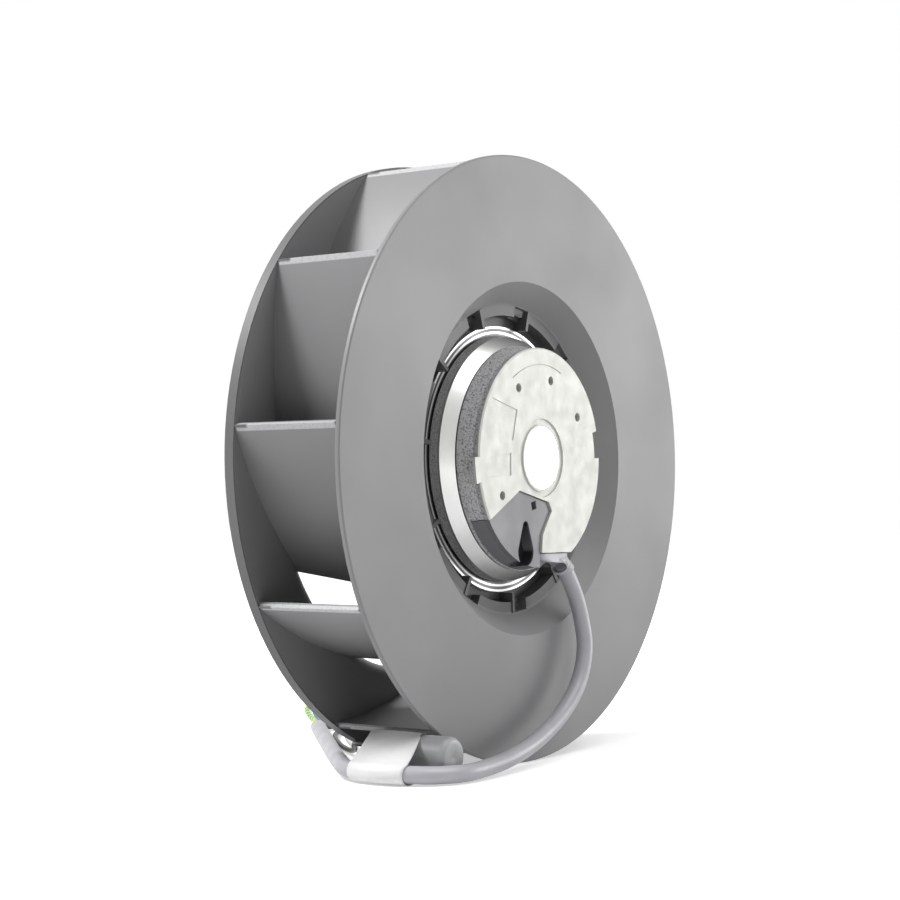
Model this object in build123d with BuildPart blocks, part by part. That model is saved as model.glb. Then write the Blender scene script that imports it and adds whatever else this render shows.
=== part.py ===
from build123d import *
from math import acos, atan2, cos, degrees, pi, radians, sin, tan
import os

os.makedirs("parts", exist_ok=True)

# Centrifugal fan: a backward curved plastic impeller carried by an external rotor motor.
# The origin is the middle of the motor's mounting face. The fan axis is Y: the mounting
# face looks along -Y and the inlet along +Y. Z is up and all sizes are millimetres.

# Impeller
impeller_radius = 110.0
plate_y = 6.0
plate_wall = 2.0
dish_run = 7.7
dish_depth = 8.5
ledge_width = 4.1
ledge_fillet = 1.5
hub_gap = 3.8
hub_wall = 2.0
web_wall = 2.2
sleeve_wall = 2.9
sleeve_length = 14.0
rib_count = 11
rib_wall = 1.5
rib_start_angle = 43.8
rib_rise = 0.4
rib_clearance = 0.4
window_width = 8.7
window_margin = 0.2
window_rise = 1.5
blade_count = 11
blade_wall = 2.0
blade_inner_radius = 78.0
blade_rake = 3.5
blade_root_angle = 52.0
blade_middle_radius = 94.0
blade_middle_angle = 14.5
blade_edge_setback = 0.8
blade_start_angle = 109.5
weld_line = 0.05
rim_fillet = 0.6

# Inlet shroud
shroud_wall = 2.0
shroud_rim_y = 54.8
shroud_rim_height = 3.8
shroud_slope = 8.0
shroud_bend_radius = 8.0
eye_radius = 78.0
lip_end_y = 66.0

# Rotor can, cage and core
can_radius = 45.2
can_wall = 3.2
can_front_y = 18.2
collar_width = 3.5
collar_wall = 1.6
can_end_y = 56.0
can_end_wall = 2.0
can_fillet = 3.0
can_boss_radius = 9.0
can_boss_rise = 1.5
hub_nose_radius = 6.2
hub_nose_length = 1.5
end_ring_front_y = 9.6
end_ring_slope_width = 3.5
end_ring_shoulder_y = 13.8
end_ring_shoulder_step = 0.7
end_ring_land = 0.7
end_ring_undercut = 0.6
end_ring_gap = 1.4
rear_ring_length = 6.0
cage_bar_count = 24
cage_bar_share = 0.2
rotor_core_wall = 7.65
air_gap = 0.35
core_offset = 1.0
retaining_ring_wall = 1.0
retaining_ring_height = 2.6

# Stator core, windings and insulation
core_length = 24.0
core_front_y = 19.0
slot_count = 16
yoke_wall = 5.0
tooth_tip = 3.5
slot_mouth_width = 2.5
tooth_width = 4.0
coil_split_share = 0.42
coil_clearance = 0.25
insulator_wall = 0.8
main_head_front_length = 8.2
main_head_rear_length = 6.8
start_head_front_length = 6.4
start_head_rear_length = 5.6
head_overhang = 0.5
head_undercut = 1.0
head_gap = 1.0
head_fillet = 1.2
protector_length = 15.0
protector_width = 6.0
protector_height = 3.9
protector_fillet = 1.0
protector_angle = 95.0

# Stator flange
flange_radius = 40.0
flange_plate_wall = 4.6
flange_chamfer = 0.5
flange_edge_radius = 39.6
flange_edge_y = 3.0
skirt_radius = 41.0
skirt_end_y = 9.0
skirt_bore_radius = 37.0
tube_radius = 12.5
tube_foot_radius = 14.5
cap_radius = 11.7
cap_wall = 1.2
cap_edge_radius = 0.4
ring_groove_gap = 0.5
ring_groove_width = 2.1
face_recess = 0.6
panel_recess = 0.3
arc_groove_radius = 33.9
arc_groove_width = 0.5
arc_groove_angles = (68.0, 124.0)
mount_hole_radius = 1.65
mount_pitch_radius = 29.0
mount_hole_angles = (33.0, 78.0, 121.5, 208.5)
rim_step_radius = 36.9
rim_step_angles = (1.3, 16.2)
side_panel_angle = 33.2
ear_radius = 42.4
ear_root = 4.0
ear_angles = (180.8, 193.5)
notch_edge = (-33.0, -22.3)
notch_apex = (-14.5, -11.9)
notch_shoulder = (4.7, -15.9)
notch_corner = (6.7, -19.1)
notch_waist = (0.7, -27.8)
notch_foot = (0.0, -34.3)
notch_overrun = 1.5
notch_depth_y = 8.0
cable_flat_depth_y = 7.4

# Sunk panels of the flange's face, as corner points
upper_panel = [(-32.0, 20.5), (-16.0, 16.8), (-18.7, 5.8), (-34.6, 10.1)]
ear_panel = [(-20.0, 1.4), (-34.0, -0.4), (-36.0, -7.6), (-20.0, -6.6)]

# Terminal cover and cable grommet
cover_gap = 0.3
cover_recess = 0.8
duct_top = (-9.5, -24.6)
duct_top_radius = 1.8
duct_foot = (-9.4, -34.0)
duct_foot_radius = 5.0
duct_depth = 4.4
cover_window = (-4.2, -17.2)
cover_window_size = 3.0
cover_window_turn = 15.0
cover_window_depth = 2.6
grommet_wall = 6.2
grommet_length = 19.0
snout_length = 2.8
snout_base_radius = 3.55
snout_tip_radius = 3.3

# Shaft and bearings
shaft_radius = 4.0
shaft_front_y = 6.0
shaft_chamfer = 0.4
bearing_radius = 11.0
bearing_width = 7.0
ball_count = 7
ball_radius = 1.9845
ball_pitch_radius = 7.5
race_clearance = 0.03
race_land = 0.8
cage_half_height = 0.55
cage_side_wall = 0.55
pocket_clearance = 0.08
front_bearing_y = 8.0
rear_bearing_y = 43.0
bearing_shoulder = 1.0
washer_wall = 0.6
washer_bore_radius = 8.8
clip_wall = 0.8
clip_radius = 6.0
clip_groove_depth = 0.25
clip_opening = 4.0
fit = 0.02

# Capacitor, its label band and the cords
capacitor_radius = 7.0
capacitor_length = 33.5
capacitor_fillet = 2.2
capacitor_place = (-58.5, -2.5, -102.2)
band_wall = 0.3
band_clearance = 0.3
band_sheath_clearance = 0.8
band_start_y = 10.0
band_end_y = 31.5
band_sections = 4
sheath_diameter = 6.0
wire_diameter = 2.0
ferrule_collar_radius = 1.4
ferrule_collar_length = 6.0
ferrule_pin_radius = 0.6
ferrule_pin_length = 8.0
run_share = 0.45

# Routes of the cords, point by point, from the end that leaves the fan
sheath_route = [
    (18.6, 3.1, -38.9),
    (22.9, 2.6, -44.6),
    (25.8, 1.2, -52.3),
    (27.0, -0.2, -60.2),
    (27.4, -1.6, -70.0),
    (21.5, -2.6, -82.5),
    (8.0, -3.4, -93.2),
    (-11.0, -5.0, -100.8),
    (-33.0, -7.2, -105.2),
    (-54.0, -8.5, -106.5),
    (-69.0, -8.5, -106.8),
    (-78.6, -1.5, -106.6),
    (-81.0, 10.5, -105.8),
    (-76.0, 24.5, -105.0),
    (-65.5, 39.0, -104.6),
    (-47.5, 54.5, -106.0),
    (-27.0, 70.5, -107.0),
    (-6.0, 91.0, -107.0),
    (12.0, 111.5, -107.0),
    (26.0, 125.5, -107.0),
]
earth_route = [
    (25.25, 126.25, -105.94),
    (31.25, 132.25, -105.94),
    (48.0, 144.5, -107.4),
    (66.0, 162.0, -108.9),
    (85.0, 180.0, -108.9),
    (103.0, 195.5, -108.9),
    (122.0, 204.5, -108.5),
]
neutral_route = [
    (26.75, 124.75, -105.94),
    (32.75, 130.75, -105.94),
    (49.5, 142.0, -107.4),
    (68.0, 160.0, -108.9),
    (87.5, 178.0, -108.9),
    (106.0, 192.5, -108.9),
    (125.0, 200.5, -108.5),
]
brown_route = [
    (25.25, 126.25, -108.06),
    (31.25, 132.25, -108.06),
    (45.5, 135.0, -108.9),
    (62.0, 150.0, -108.9),
    (81.0, 167.5, -108.9),
    (100.0, 184.0, -108.9),
    (118.5, 193.0, -108.5),
]
black_route = [
    (26.75, 124.75, -108.06),
    (32.75, 130.75, -108.06),
    (47.5, 131.0, -108.9),
    (64.0, 141.5, -108.9),
    (83.0, 153.5, -108.9),
    (101.0, 165.0, -108.9),
    (118.0, 172.0, -108.5),
]
white_lead_route = [
    (-55.6, 31.0, -101.4),
    (-55.6, 37.0, -101.4),
    (-46.5, 46.5, -104.6),
    (-30.0, 58.5, -108.6),
    (-9.0, 78.0, -108.9),
    (12.0, 97.0, -108.9),
    (33.0, 112.5, -108.9),
    (55.0, 121.5, -108.9),
    (77.0, 126.5, -108.5),
]
black_lead_route = [
    (-60.4, 31.0, -99.8),
    (-60.4, 37.0, -99.8),
    (-52.0, 45.5, -101.0),
    (-35.0, 58.0, -106.4),
    (-14.5, 77.0, -108.9),
    (6.5, 98.0, -108.9),
    (27.0, 116.0, -108.9),
    (48.0, 126.5, -108.9),
    (70.0, 132.0, -108.5),
]

# Sizes worked out from the ones above
plate_back_y = plate_y + plate_wall
ledge_y = plate_y + dish_depth
ledge_back_y = ledge_y + plate_wall
can_bore_radius = can_radius - can_wall
collar_radius = can_radius + collar_width
web_y = can_front_y + collar_wall
web_back_y = web_y + web_wall
hub_wall_radius = collar_radius + hub_gap
hub_outer_radius = hub_wall_radius + hub_wall
ledge_radius = hub_wall_radius + ledge_width
dish_radius = ledge_radius + dish_run
sleeve_bore_radius = can_radius + fit
sleeve_radius = sleeve_bore_radius + sleeve_wall
sleeve_end_y = web_back_y + sleeve_length
core_back_y = core_front_y + core_length
rotor_core_front_y = core_front_y + core_offset
rotor_core_back_y = rotor_core_front_y + core_length
rotor_core_bore_radius = can_bore_radius - rotor_core_wall
core_radius = rotor_core_bore_radius - air_gap
cage_bar_radius = cage_bar_share * rotor_core_wall
cage_bar_pitch_radius = rotor_core_bore_radius + rotor_core_wall / 2
end_ring_bore_radius = core_radius + end_ring_gap
end_ring_shoulder_radius = can_radius - end_ring_shoulder_step
end_ring_front_radius = end_ring_shoulder_radius - end_ring_slope_width
slot_inner_radius = tube_radius + yoke_wall
slot_outer_radius = core_radius - tooth_tip
coil_split_radius = slot_inner_radius + coil_split_share * (slot_outer_radius - slot_inner_radius)
main_head_inner_radius = coil_split_radius + head_gap
main_head_outer_radius = slot_outer_radius + head_overhang
tube_bore_radius = bearing_radius - bearing_shoulder
front_shoulder_y = front_bearing_y + bearing_width
tube_end_y = rear_bearing_y + bearing_width
front_insulator_y = core_front_y - insulator_wall
rear_insulator_end_y = core_back_y + insulator_wall
shaft_end_y = can_end_y + can_boss_rise
clip_y = front_bearing_y - clip_wall
ring_groove_radius = cap_radius + ring_groove_gap


def face_plane(y):
    """A sketch plane across the fan axis: local x and y are X and Z, and its normal is -Y."""
    return Plane(origin=(0, y, 0), x_dir=(1, 0, 0), z_dir=(0, -1, 0))


def polar(radius, angle):
    """A point of a face plane, from its distance to the axis and its angle above +X."""
    return (radius * cos(radians(angle)), radius * sin(radians(angle)))


def save(piece, name):
    """Label a finished piece and write its STEP file."""
    piece.label = name
    export_step(piece, f"parts/{name}.step")


def rims(builder, radius):
    """The circular edges of a turned piece that have this radius."""
    circles = builder.edges().filter_by(GeomType.CIRCLE)
    return circles.filter_by(lambda rim: abs(rim.radius - radius) < fit)


def ring(name, inner, outer, start_y, end_y):
    """A plain turned ring on the fan axis."""
    with BuildPart() as turned:
        with BuildSketch(face_plane(start_y)):
            Circle(outer)
            Circle(inner, mode=Mode.SUBTRACT)
        extrude(amount=start_y - end_y)
    save(turned.part, name)


# Back plate: flat rim, dish down to a narrow ledge, hub wall, and the sleeve on the rotor can
dish_slope = atan2(dish_depth, dish_run)
dish_shift = plate_wall * tan(dish_slope / 2)
window_start_radius = hub_wall_radius - hub_wall / 2
window_end_radius = ledge_radius - window_margin
window_middle_radius = (window_start_radius + window_end_radius) / 2
window_angle = rib_start_angle + degrees(window_width / 2 / window_middle_radius)
rib_inner_radius = collar_radius + rib_clearance
rib_outer_radius = hub_wall_radius + hub_wall / 2

with BuildPart() as impeller_back_plate:
    with BuildSketch(Plane.XY):
        with BuildLine():
            Polyline(
                (impeller_radius, plate_y),
                (dish_radius, plate_y),
                (ledge_radius, ledge_y),
                (hub_wall_radius, ledge_y),
                (hub_wall_radius, web_y),
                (sleeve_bore_radius, web_y),
                (sleeve_bore_radius, sleeve_end_y),
                (sleeve_radius, sleeve_end_y),
                (sleeve_radius, web_back_y),
                (hub_outer_radius, web_back_y),
                (hub_outer_radius, ledge_back_y),
                (ledge_radius + dish_shift, ledge_back_y),
                (dish_radius + dish_shift, plate_back_y),
                (impeller_radius, plate_back_y),
                close=True,
            )
        make_face()
    revolve(axis=Axis.Y)
    fillet(rims(impeller_back_plate, impeller_radius), radius=rim_fillet)
    fillet(rims(impeller_back_plate, ledge_radius), radius=ledge_fillet)
    # one window beside each rib, through the ledge and the foot of the hub wall
    with BuildSketch(face_plane(plate_y)):
        with PolarLocations(window_middle_radius, rib_count, window_angle):
            Rectangle(window_end_radius - window_start_radius, window_width)
    extrude(amount=-(dish_depth + plate_wall + window_rise), mode=Mode.SUBTRACT)
    # ribs from the window's edge across the gap to the can's collar
    with BuildSketch(Plane.XY.rotated((0, -rib_start_angle, 0)).offset(-rib_wall / 2)):
        with BuildLine():
            Polyline(
                (rib_inner_radius, ledge_y - rib_rise),
                (window_end_radius, ledge_y - rib_rise),
                (window_end_radius, ledge_back_y),
                (rib_outer_radius, ledge_back_y),
                (rib_outer_radius, web_y + web_wall / 2),
                (rib_inner_radius, web_y + web_wall / 2),
                close=True,
            )
        make_face()
    first_rib = extrude(amount=rib_wall, mode=Mode.PRIVATE)
    rib_steps = [360 / rib_count * step for step in range(rib_count)]
    for turn in rib_steps:
        add(first_rib.rotate(Axis.Y, -turn))

save(impeller_back_plate.part, "impeller_back_plate")

# Shroud: rim band, a gentle cone, a bend into the eye and a short straight lip
shroud_angle = radians(shroud_slope)
shroud_rim_front_y = shroud_rim_y - shroud_rim_height
bend_end_radius = eye_radius + shroud_bend_radius * (1 - sin(shroud_angle))
bend_end_y = shroud_rim_front_y + (impeller_radius - bend_end_radius) * tan(shroud_angle)
bend_start_y = bend_end_y + shroud_bend_radius * cos(shroud_angle)
outer_bend_radius = shroud_bend_radius - shroud_wall
outer_bend_end_radius = eye_radius + shroud_bend_radius - outer_bend_radius * sin(shroud_angle)
outer_bend_end_y = bend_start_y - outer_bend_radius * cos(shroud_angle)
rim_top_radius = impeller_radius - shroud_wall
rim_inner_y = outer_bend_end_y - (rim_top_radius - outer_bend_end_radius) * tan(shroud_angle)

with BuildPart() as inlet_shroud:
    with BuildSketch(Plane.XY):
        with BuildLine():
            lip = Line((eye_radius, lip_end_y), (eye_radius, bend_start_y))
            flow_bend = TangentArc(lip @ 1, (bend_end_radius, bend_end_y), tangent=(0, -1))
            Polyline(
                flow_bend @ 1,
                (impeller_radius, shroud_rim_front_y),
                (impeller_radius, shroud_rim_y),
                (rim_top_radius, shroud_rim_y),
                (rim_top_radius, rim_inner_y),
                (outer_bend_end_radius, outer_bend_end_y),
            )
            outer_bend = TangentArc(
                (outer_bend_end_radius, outer_bend_end_y),
                (eye_radius + shroud_wall, bend_start_y),
                tangent=(-cos(shroud_angle), sin(shroud_angle)),
            )
            Polyline(outer_bend @ 1, (eye_radius + shroud_wall, lip_end_y), lip @ 0)
        make_face()
    revolve(axis=Axis.Y)

save(inlet_shroud.part, "inlet_shroud")

# Blades: one arc through three points, given its wall, repeated round the axis, and trimmed
# by the leading edge's cone inside and by the shroud's flow side above
blade_tip_radius = impeller_radius - blade_edge_setback
bend_end_angle = 90 - shroud_slope
leading_top_angle = degrees(
    acos((shroud_bend_radius - blade_rake) / (shroud_bend_radius + weld_line))
)


def below_bend(angle):
    """A point of the section, a weld line below the shroud's bend: 0 degrees is at the eye."""
    reach = shroud_bend_radius + weld_line
    return (
        eye_radius + shroud_bend_radius - reach * cos(radians(angle)),
        bend_start_y - reach * sin(radians(angle)),
    )


with BuildSketch() as blade_outline:
    with BuildLine():
        ThreePointArc(
            polar(blade_inner_radius - blade_rake, blade_root_angle),
            polar(blade_middle_radius, blade_middle_angle),
            polar(blade_tip_radius, 0),
        )
    trace(line_width=blade_wall)

with BuildPart() as impeller_blades:
    with BuildSketch(face_plane(plate_back_y)):
        with PolarLocations(0, blade_count, blade_start_angle):
            add(blade_outline.sketch)
    extrude(amount=-(lip_end_y - plate_back_y))
    with BuildSketch(Plane.XY):
        with BuildLine():
            under_bend = ThreePointArc(
                below_bend(leading_top_angle),
                below_bend((leading_top_angle + bend_end_angle) / 2),
                below_bend(bend_end_angle),
            )
            Polyline(
                under_bend @ 1,
                (impeller_radius, shroud_rim_front_y - weld_line),
                (impeller_radius, plate_back_y),
                (blade_inner_radius, plate_back_y),
                under_bend @ 0,
            )
        make_face()
    revolve(axis=Axis.Y, mode=Mode.INTERSECT)

save(impeller_blades.part, "impeller_blades")

# Rotor can: a drawn steel cup with a collar at its mouth and a boss that grips the shaft
with BuildPart() as rotor_can:
    with BuildSketch(Plane.XY):
        with BuildLine():
            Polyline(
                (can_bore_radius, can_front_y),
                (collar_radius, can_front_y),
                (collar_radius, web_y),
                (can_radius, web_y),
                (can_radius, can_end_y),
                (can_boss_radius, can_end_y),
                (can_boss_radius, can_end_y + can_boss_rise),
                (shaft_radius, can_end_y + can_boss_rise),
                (shaft_radius, tube_end_y),
                (hub_nose_radius, tube_end_y),
                (hub_nose_radius, tube_end_y + hub_nose_length),
                (can_boss_radius, tube_end_y + hub_nose_length),
                (can_boss_radius, can_end_y - can_end_wall),
                (can_bore_radius, can_end_y - can_end_wall),
                close=True,
            )
        make_face()
    revolve(axis=Axis.Y)
    fillet(rims(rotor_can, can_radius).sort_by(Axis.Y)[-1], radius=can_fillet)

save(rotor_can.part, "rotor_can")

# Rotor core: laminated ring with closed round slots for the cage bars
with BuildPart() as rotor_core:
    with BuildSketch(face_plane(rotor_core_front_y)):
        Circle(can_bore_radius - fit)
        Circle(rotor_core_bore_radius, mode=Mode.SUBTRACT)
        with PolarLocations(cage_bar_pitch_radius, cage_bar_count):
            Circle(cage_bar_radius + fit, mode=Mode.SUBTRACT)
    extrude(amount=-core_length)

save(rotor_core.part, "rotor_core")

# Die cast cage: the front ring shows as the bright shoulder, its bars run through the core
with BuildPart() as rotor_cage:
    with BuildSketch(Plane.XY):
        with BuildLine():
            Polyline(
                (end_ring_bore_radius, end_ring_front_y),
                (end_ring_front_radius, end_ring_front_y),
                (end_ring_shoulder_radius, end_ring_shoulder_y),
                (can_radius, can_front_y - end_ring_land),
                (can_radius - end_ring_undercut, can_front_y),
                (can_bore_radius - fit, can_front_y),
                (can_bore_radius - fit, rotor_core_front_y),
                (end_ring_bore_radius, rotor_core_front_y),
                close=True,
            )
        make_face()
    revolve(axis=Axis.Y)
    with BuildSketch(face_plane(rotor_core_back_y)):
        Circle(can_bore_radius - fit)
        Circle(end_ring_bore_radius, mode=Mode.SUBTRACT)
    extrude(amount=-rear_ring_length)
    with BuildSketch(face_plane(rotor_core_front_y)):
        with PolarLocations(cage_bar_pitch_radius, cage_bar_count):
            Circle(cage_bar_radius)
    extrude(amount=-core_length)

save(rotor_cage.part, "rotor_cage")

# Retaining ring that holds the impeller's sleeve on the can
ring(
    "retaining_ring",
    can_radius + fit,
    can_radius + retaining_ring_height,
    sleeve_end_y,
    sleeve_end_y + retaining_ring_wall,
)

# Shaft with a groove for the circlip at its front end
with BuildPart() as shaft:
    with BuildSketch(face_plane(shaft_front_y)):
        Circle(shaft_radius)
    extrude(amount=shaft_front_y - shaft_end_y)
    chamfer(shaft.edges(), length=shaft_chamfer)
    with BuildSketch(face_plane(clip_y)):
        Circle(clip_radius)
        Circle(shaft_radius - clip_groove_depth, mode=Mode.SUBTRACT)
    extrude(amount=-clip_wall, mode=Mode.SUBTRACT)

save(shaft.part, "shaft")

with BuildPart() as shaft_circlip:
    with BuildSketch(face_plane(clip_y + fit)):
        Circle(clip_radius)
        Circle(shaft_radius - clip_groove_depth + fit, mode=Mode.SUBTRACT)
        with Locations((0, -clip_radius)):
            Rectangle(clip_opening, 2 * clip_radius, mode=Mode.SUBTRACT)
    extrude(amount=2 * fit - clip_wall)

save(shaft_circlip.part, "shaft_circlip")


def bearing(place, start_y):
    """A deep groove ball bearing in four nodes: two rings, the balls and their cage."""
    middle = face_plane(start_y + bearing_width / 2)
    race_radius = ball_radius + race_clearance
    land_outer = ball_pitch_radius + race_land
    land_inner = ball_pitch_radius - race_land
    with BuildPart() as outer_ring:
        with BuildSketch(middle):
            Circle(bearing_radius - fit)
            Circle(land_outer, mode=Mode.SUBTRACT)
        extrude(amount=bearing_width / 2, both=True)
        with Locations(middle):
            Torus(ball_pitch_radius, race_radius, mode=Mode.SUBTRACT)
    save(outer_ring.part, f"{place}_bearing_outer_ring")
    with BuildPart() as inner_ring:
        with BuildSketch(middle):
            Circle(land_inner)
            Circle(shaft_radius + fit, mode=Mode.SUBTRACT)
        extrude(amount=bearing_width / 2, both=True)
        with Locations(middle):
            Torus(ball_pitch_radius, race_radius, mode=Mode.SUBTRACT)
    save(inner_ring.part, f"{place}_bearing_inner_ring")
    with BuildPart() as balls:
        with Locations(middle):
            with PolarLocations(ball_pitch_radius, ball_count):
                Sphere(ball_radius)
    save(balls.part, f"{place}_bearing_balls")
    with BuildPart() as cage:
        with BuildSketch(middle):
            Circle(ball_pitch_radius + cage_half_height)
            Circle(ball_pitch_radius - cage_half_height, mode=Mode.SUBTRACT)
        extrude(amount=ball_radius + cage_side_wall, both=True)
        with Locations(middle):
            with PolarLocations(ball_pitch_radius, ball_count):
                Cylinder(
                    ball_radius + pocket_clearance,
                    4 * cage_half_height,
                    rotation=(0, 90, 0),
                    mode=Mode.SUBTRACT,
                )
    save(cage.part, f"{place}_bearing_cage")


bearing("front", front_bearing_y)
bearing("rear", rear_bearing_y)

ring(
    "wave_washer",
    washer_bore_radius,
    bearing_radius - 5 * fit,
    rear_bearing_y - washer_wall,
    rear_bearing_y,
)

# Stator flange: mounting plate, short skirt and the tube that holds both bearings
with BuildPart() as stator_flange:
    with BuildSketch(Plane.XY):
        with BuildLine():
            Polyline(
                (bearing_radius, cap_wall),
                (cap_radius, cap_wall),
                (cap_radius, 0),
                (flange_radius - flange_chamfer, 0),
                (flange_radius, flange_chamfer),
                (flange_edge_radius, flange_edge_y),
                (skirt_radius, skirt_end_y),
                (skirt_bore_radius, skirt_end_y),
                (skirt_bore_radius, flange_plate_wall),
                (tube_foot_radius, flange_plate_wall),
                (tube_foot_radius, front_insulator_y),
                (tube_radius, front_insulator_y),
                (tube_radius, tube_end_y),
                (bearing_radius, tube_end_y),
                (bearing_radius, rear_bearing_y - washer_wall),
                (tube_bore_radius, rear_bearing_y - washer_wall),
                (tube_bore_radius, front_shoulder_y),
                (bearing_radius, front_shoulder_y),
                close=True,
            )
        make_face()
    revolve(axis=Axis.Y)
    # the ear that stands past the rim
    with BuildSketch(face_plane(0)):
        with BuildLine():
            ear_start = Line(
                polar(flange_radius - ear_root, ear_angles[0]),
                polar(ear_radius, ear_angles[0]),
            )
            ear_rim = RadiusArc(ear_start @ 1, polar(ear_radius, ear_angles[1]), -ear_radius)
            Polyline(ear_rim @ 1, polar(flange_radius - ear_root, ear_angles[1]), ear_start @ 0)
        make_face()
    extrude(amount=-flange_edge_y)
    # the stepped rim
    with BuildSketch(face_plane(0)):
        with BuildLine():
            step_in = Line(
                polar(rim_step_radius, rim_step_angles[0]),
                polar(2 * flange_radius, rim_step_angles[0]),
            )
            step_out = Line(
                polar(2 * flange_radius, rim_step_angles[1]),
                polar(rim_step_radius, rim_step_angles[1]),
            )
            Line(step_in @ 1, step_out @ 0)
            RadiusArc(step_out @ 1, step_in @ 0, rim_step_radius)
        make_face()
    extrude(amount=-flange_edge_y, mode=Mode.SUBTRACT)
    # the panel beside it and the groove round the bearing cap
    groove_end_radius = ring_groove_radius + ring_groove_width
    with BuildSketch(face_plane(0)):
        Polygon(
            polar(groove_end_radius + ring_groove_width, rim_step_angles[0]),
            polar(2 * flange_radius, rim_step_angles[0]),
            polar(2 * flange_radius, rim_step_angles[1]),
            polar(groove_end_radius + ring_groove_width, side_panel_angle),
            align=None,
        )
    extrude(amount=-panel_recess, mode=Mode.SUBTRACT)
    with BuildSketch(face_plane(0)):
        Circle(groove_end_radius)
        Circle(ring_groove_radius, mode=Mode.SUBTRACT)
    extrude(amount=-face_recess, mode=Mode.SUBTRACT)
    # two sunk panels and the arc groove past the upper holes
    with BuildSketch(face_plane(0)):
        Polygon(*upper_panel, align=None)
        Polygon(*ear_panel, align=None)
        with BuildLine():
            CenterArc(
                (0, 0),
                arc_groove_radius,
                arc_groove_angles[0],
                arc_groove_angles[1] - arc_groove_angles[0],
            )
        trace(line_width=arc_groove_width)
    extrude(amount=-panel_recess, mode=Mode.SUBTRACT)
    # screw holes
    with BuildSketch(face_plane(0)):
        with Locations(*[polar(mount_pitch_radius, angle) for angle in mount_hole_angles]):
            Circle(mount_hole_radius)
    extrude(amount=-flange_plate_wall, mode=Mode.SUBTRACT)
    # the notch for the terminal cover, cut through plate and skirt
    notch_end = tuple(
        near + notch_overrun * (far - near) for near, far in zip(notch_apex, notch_edge)
    )
    notch_reach = notch_overrun * skirt_radius
    with BuildSketch(face_plane(0)) as notch:
        Polygon(
            notch_end,
            notch_apex,
            notch_shoulder,
            notch_corner,
            notch_waist,
            notch_foot,
            (notch_foot[0], -notch_reach),
            (-notch_reach, -notch_reach),
            align=None,
        )
    extrude(amount=-notch_depth_y, mode=Mode.SUBTRACT)
    # the flat where the cable leaves
    with BuildSketch(face_plane(0)):
        with Locations(notch_foot):
            Rectangle(skirt_radius, skirt_radius, align=(Align.MIN, Align.MAX))
    extrude(amount=-cable_flat_depth_y, mode=Mode.SUBTRACT)

save(stator_flange.part, "stator_flange")

with BuildPart() as bearing_cap:
    with BuildSketch(face_plane(0)):
        Circle(cap_radius - fit)
    extrude(amount=-cap_wall)
    fillet(bearing_cap.faces().sort_by(Axis.Y)[0].edges(), radius=cap_edge_radius)

save(bearing_cap.part, "bearing_cap")

# Terminal cover: fills the notch, flush with the skirt's side
with BuildPart() as terminal_cover:
    with BuildSketch(face_plane(cover_recess)):
        add(notch.sketch.moved(Location((0, cover_recess, 0))))
        offset(amount=-cover_gap, kind=Kind.INTERSECTION, mode=Mode.REPLACE)
    extrude(amount=-(notch_depth_y - cover_gap - cover_recess))
    with BuildSketch(Plane.XY):
        with BuildLine():
            Polyline(
                (0, cover_recess),
                (flange_edge_radius, cover_recess),
                (flange_edge_radius, flange_edge_y),
                (skirt_radius - cover_gap, notch_depth_y),
                (0, notch_depth_y),
                close=True,
            )
        make_face()
    revolve(axis=Axis.Y, mode=Mode.INTERSECT)
    # the tapering duct over the conductors and the small window beside it
    with BuildSketch(face_plane(cover_recess)):
        with Locations(duct_top):
            Circle(duct_top_radius)
        with Locations(duct_foot):
            Circle(duct_foot_radius)
        make_hull()
    extrude(amount=-duct_depth, mode=Mode.SUBTRACT)
    with BuildSketch(face_plane(cover_recess)):
        with Locations(cover_window):
            Rectangle(cover_window_size, cover_window_size, rotation=cover_window_turn)
    extrude(amount=-cover_window_depth, mode=Mode.SUBTRACT)

save(terminal_cover.part, "terminal_cover")

# Grommet: a soft block in the flange's flat, with a short snout along the cable
cable_exit = Vector(*sheath_route[0])
cable_heading = (Vector(*sheath_route[1]) - cable_exit).normalized()
grommet_top_z = notch_foot[1] - cover_gap
with BuildPart() as cable_grommet:
    with BuildSketch(face_plane(cover_recess)):
        with Locations((notch_foot[0] + cover_gap, grommet_top_z)):
            Rectangle(grommet_length, skirt_radius, align=(Align.MIN, Align.MAX))
        Circle(flange_edge_radius, mode=Mode.INTERSECT)
    extrude(amount=-grommet_wall)
    with BuildSketch(Plane(origin=cable_exit - cable_heading * snout_length, z_dir=cable_heading)):
        Circle(snout_base_radius)
    with BuildSketch(Plane(origin=cable_exit, z_dir=cable_heading)):
        Circle(snout_tip_radius)
    loft()

save(cable_grommet.part, "cable_grommet")


def slot_width(radius):
    """Width of a stator slot at a radius, between teeth with parallel sides."""
    return 2 * radius * tan(pi / slot_count) - tooth_width


def slot_points(inner, outer, clearance):
    """The four corners of a slot's section between two radii, on the +X side."""
    inner_half = slot_width(inner) / 2 - clearance
    outer_half = slot_width(outer) / 2 - clearance
    return [(inner, -inner_half), (outer, -outer_half), (outer, outer_half), (inner, inner_half)]


def lamination(start_y, thickness, bore, mouth):
    """A slotted disc of the stator's outline, from start_y towards +Y."""
    with BuildPart() as disc:
        with BuildSketch(face_plane(start_y)):
            Circle(core_radius)
            Circle(bore, mode=Mode.SUBTRACT)
            with BuildSketch(mode=Mode.PRIVATE) as slot:
                Polygon(*slot_points(slot_inner_radius, slot_outer_radius, 0), align=None)
                with Locations((core_radius, 0)):
                    Rectangle(3 * tooth_tip, mouth)
            with PolarLocations(0, slot_count):
                add(slot.sketch, mode=Mode.SUBTRACT)
        extrude(amount=-thickness)
    return disc.part


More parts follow.
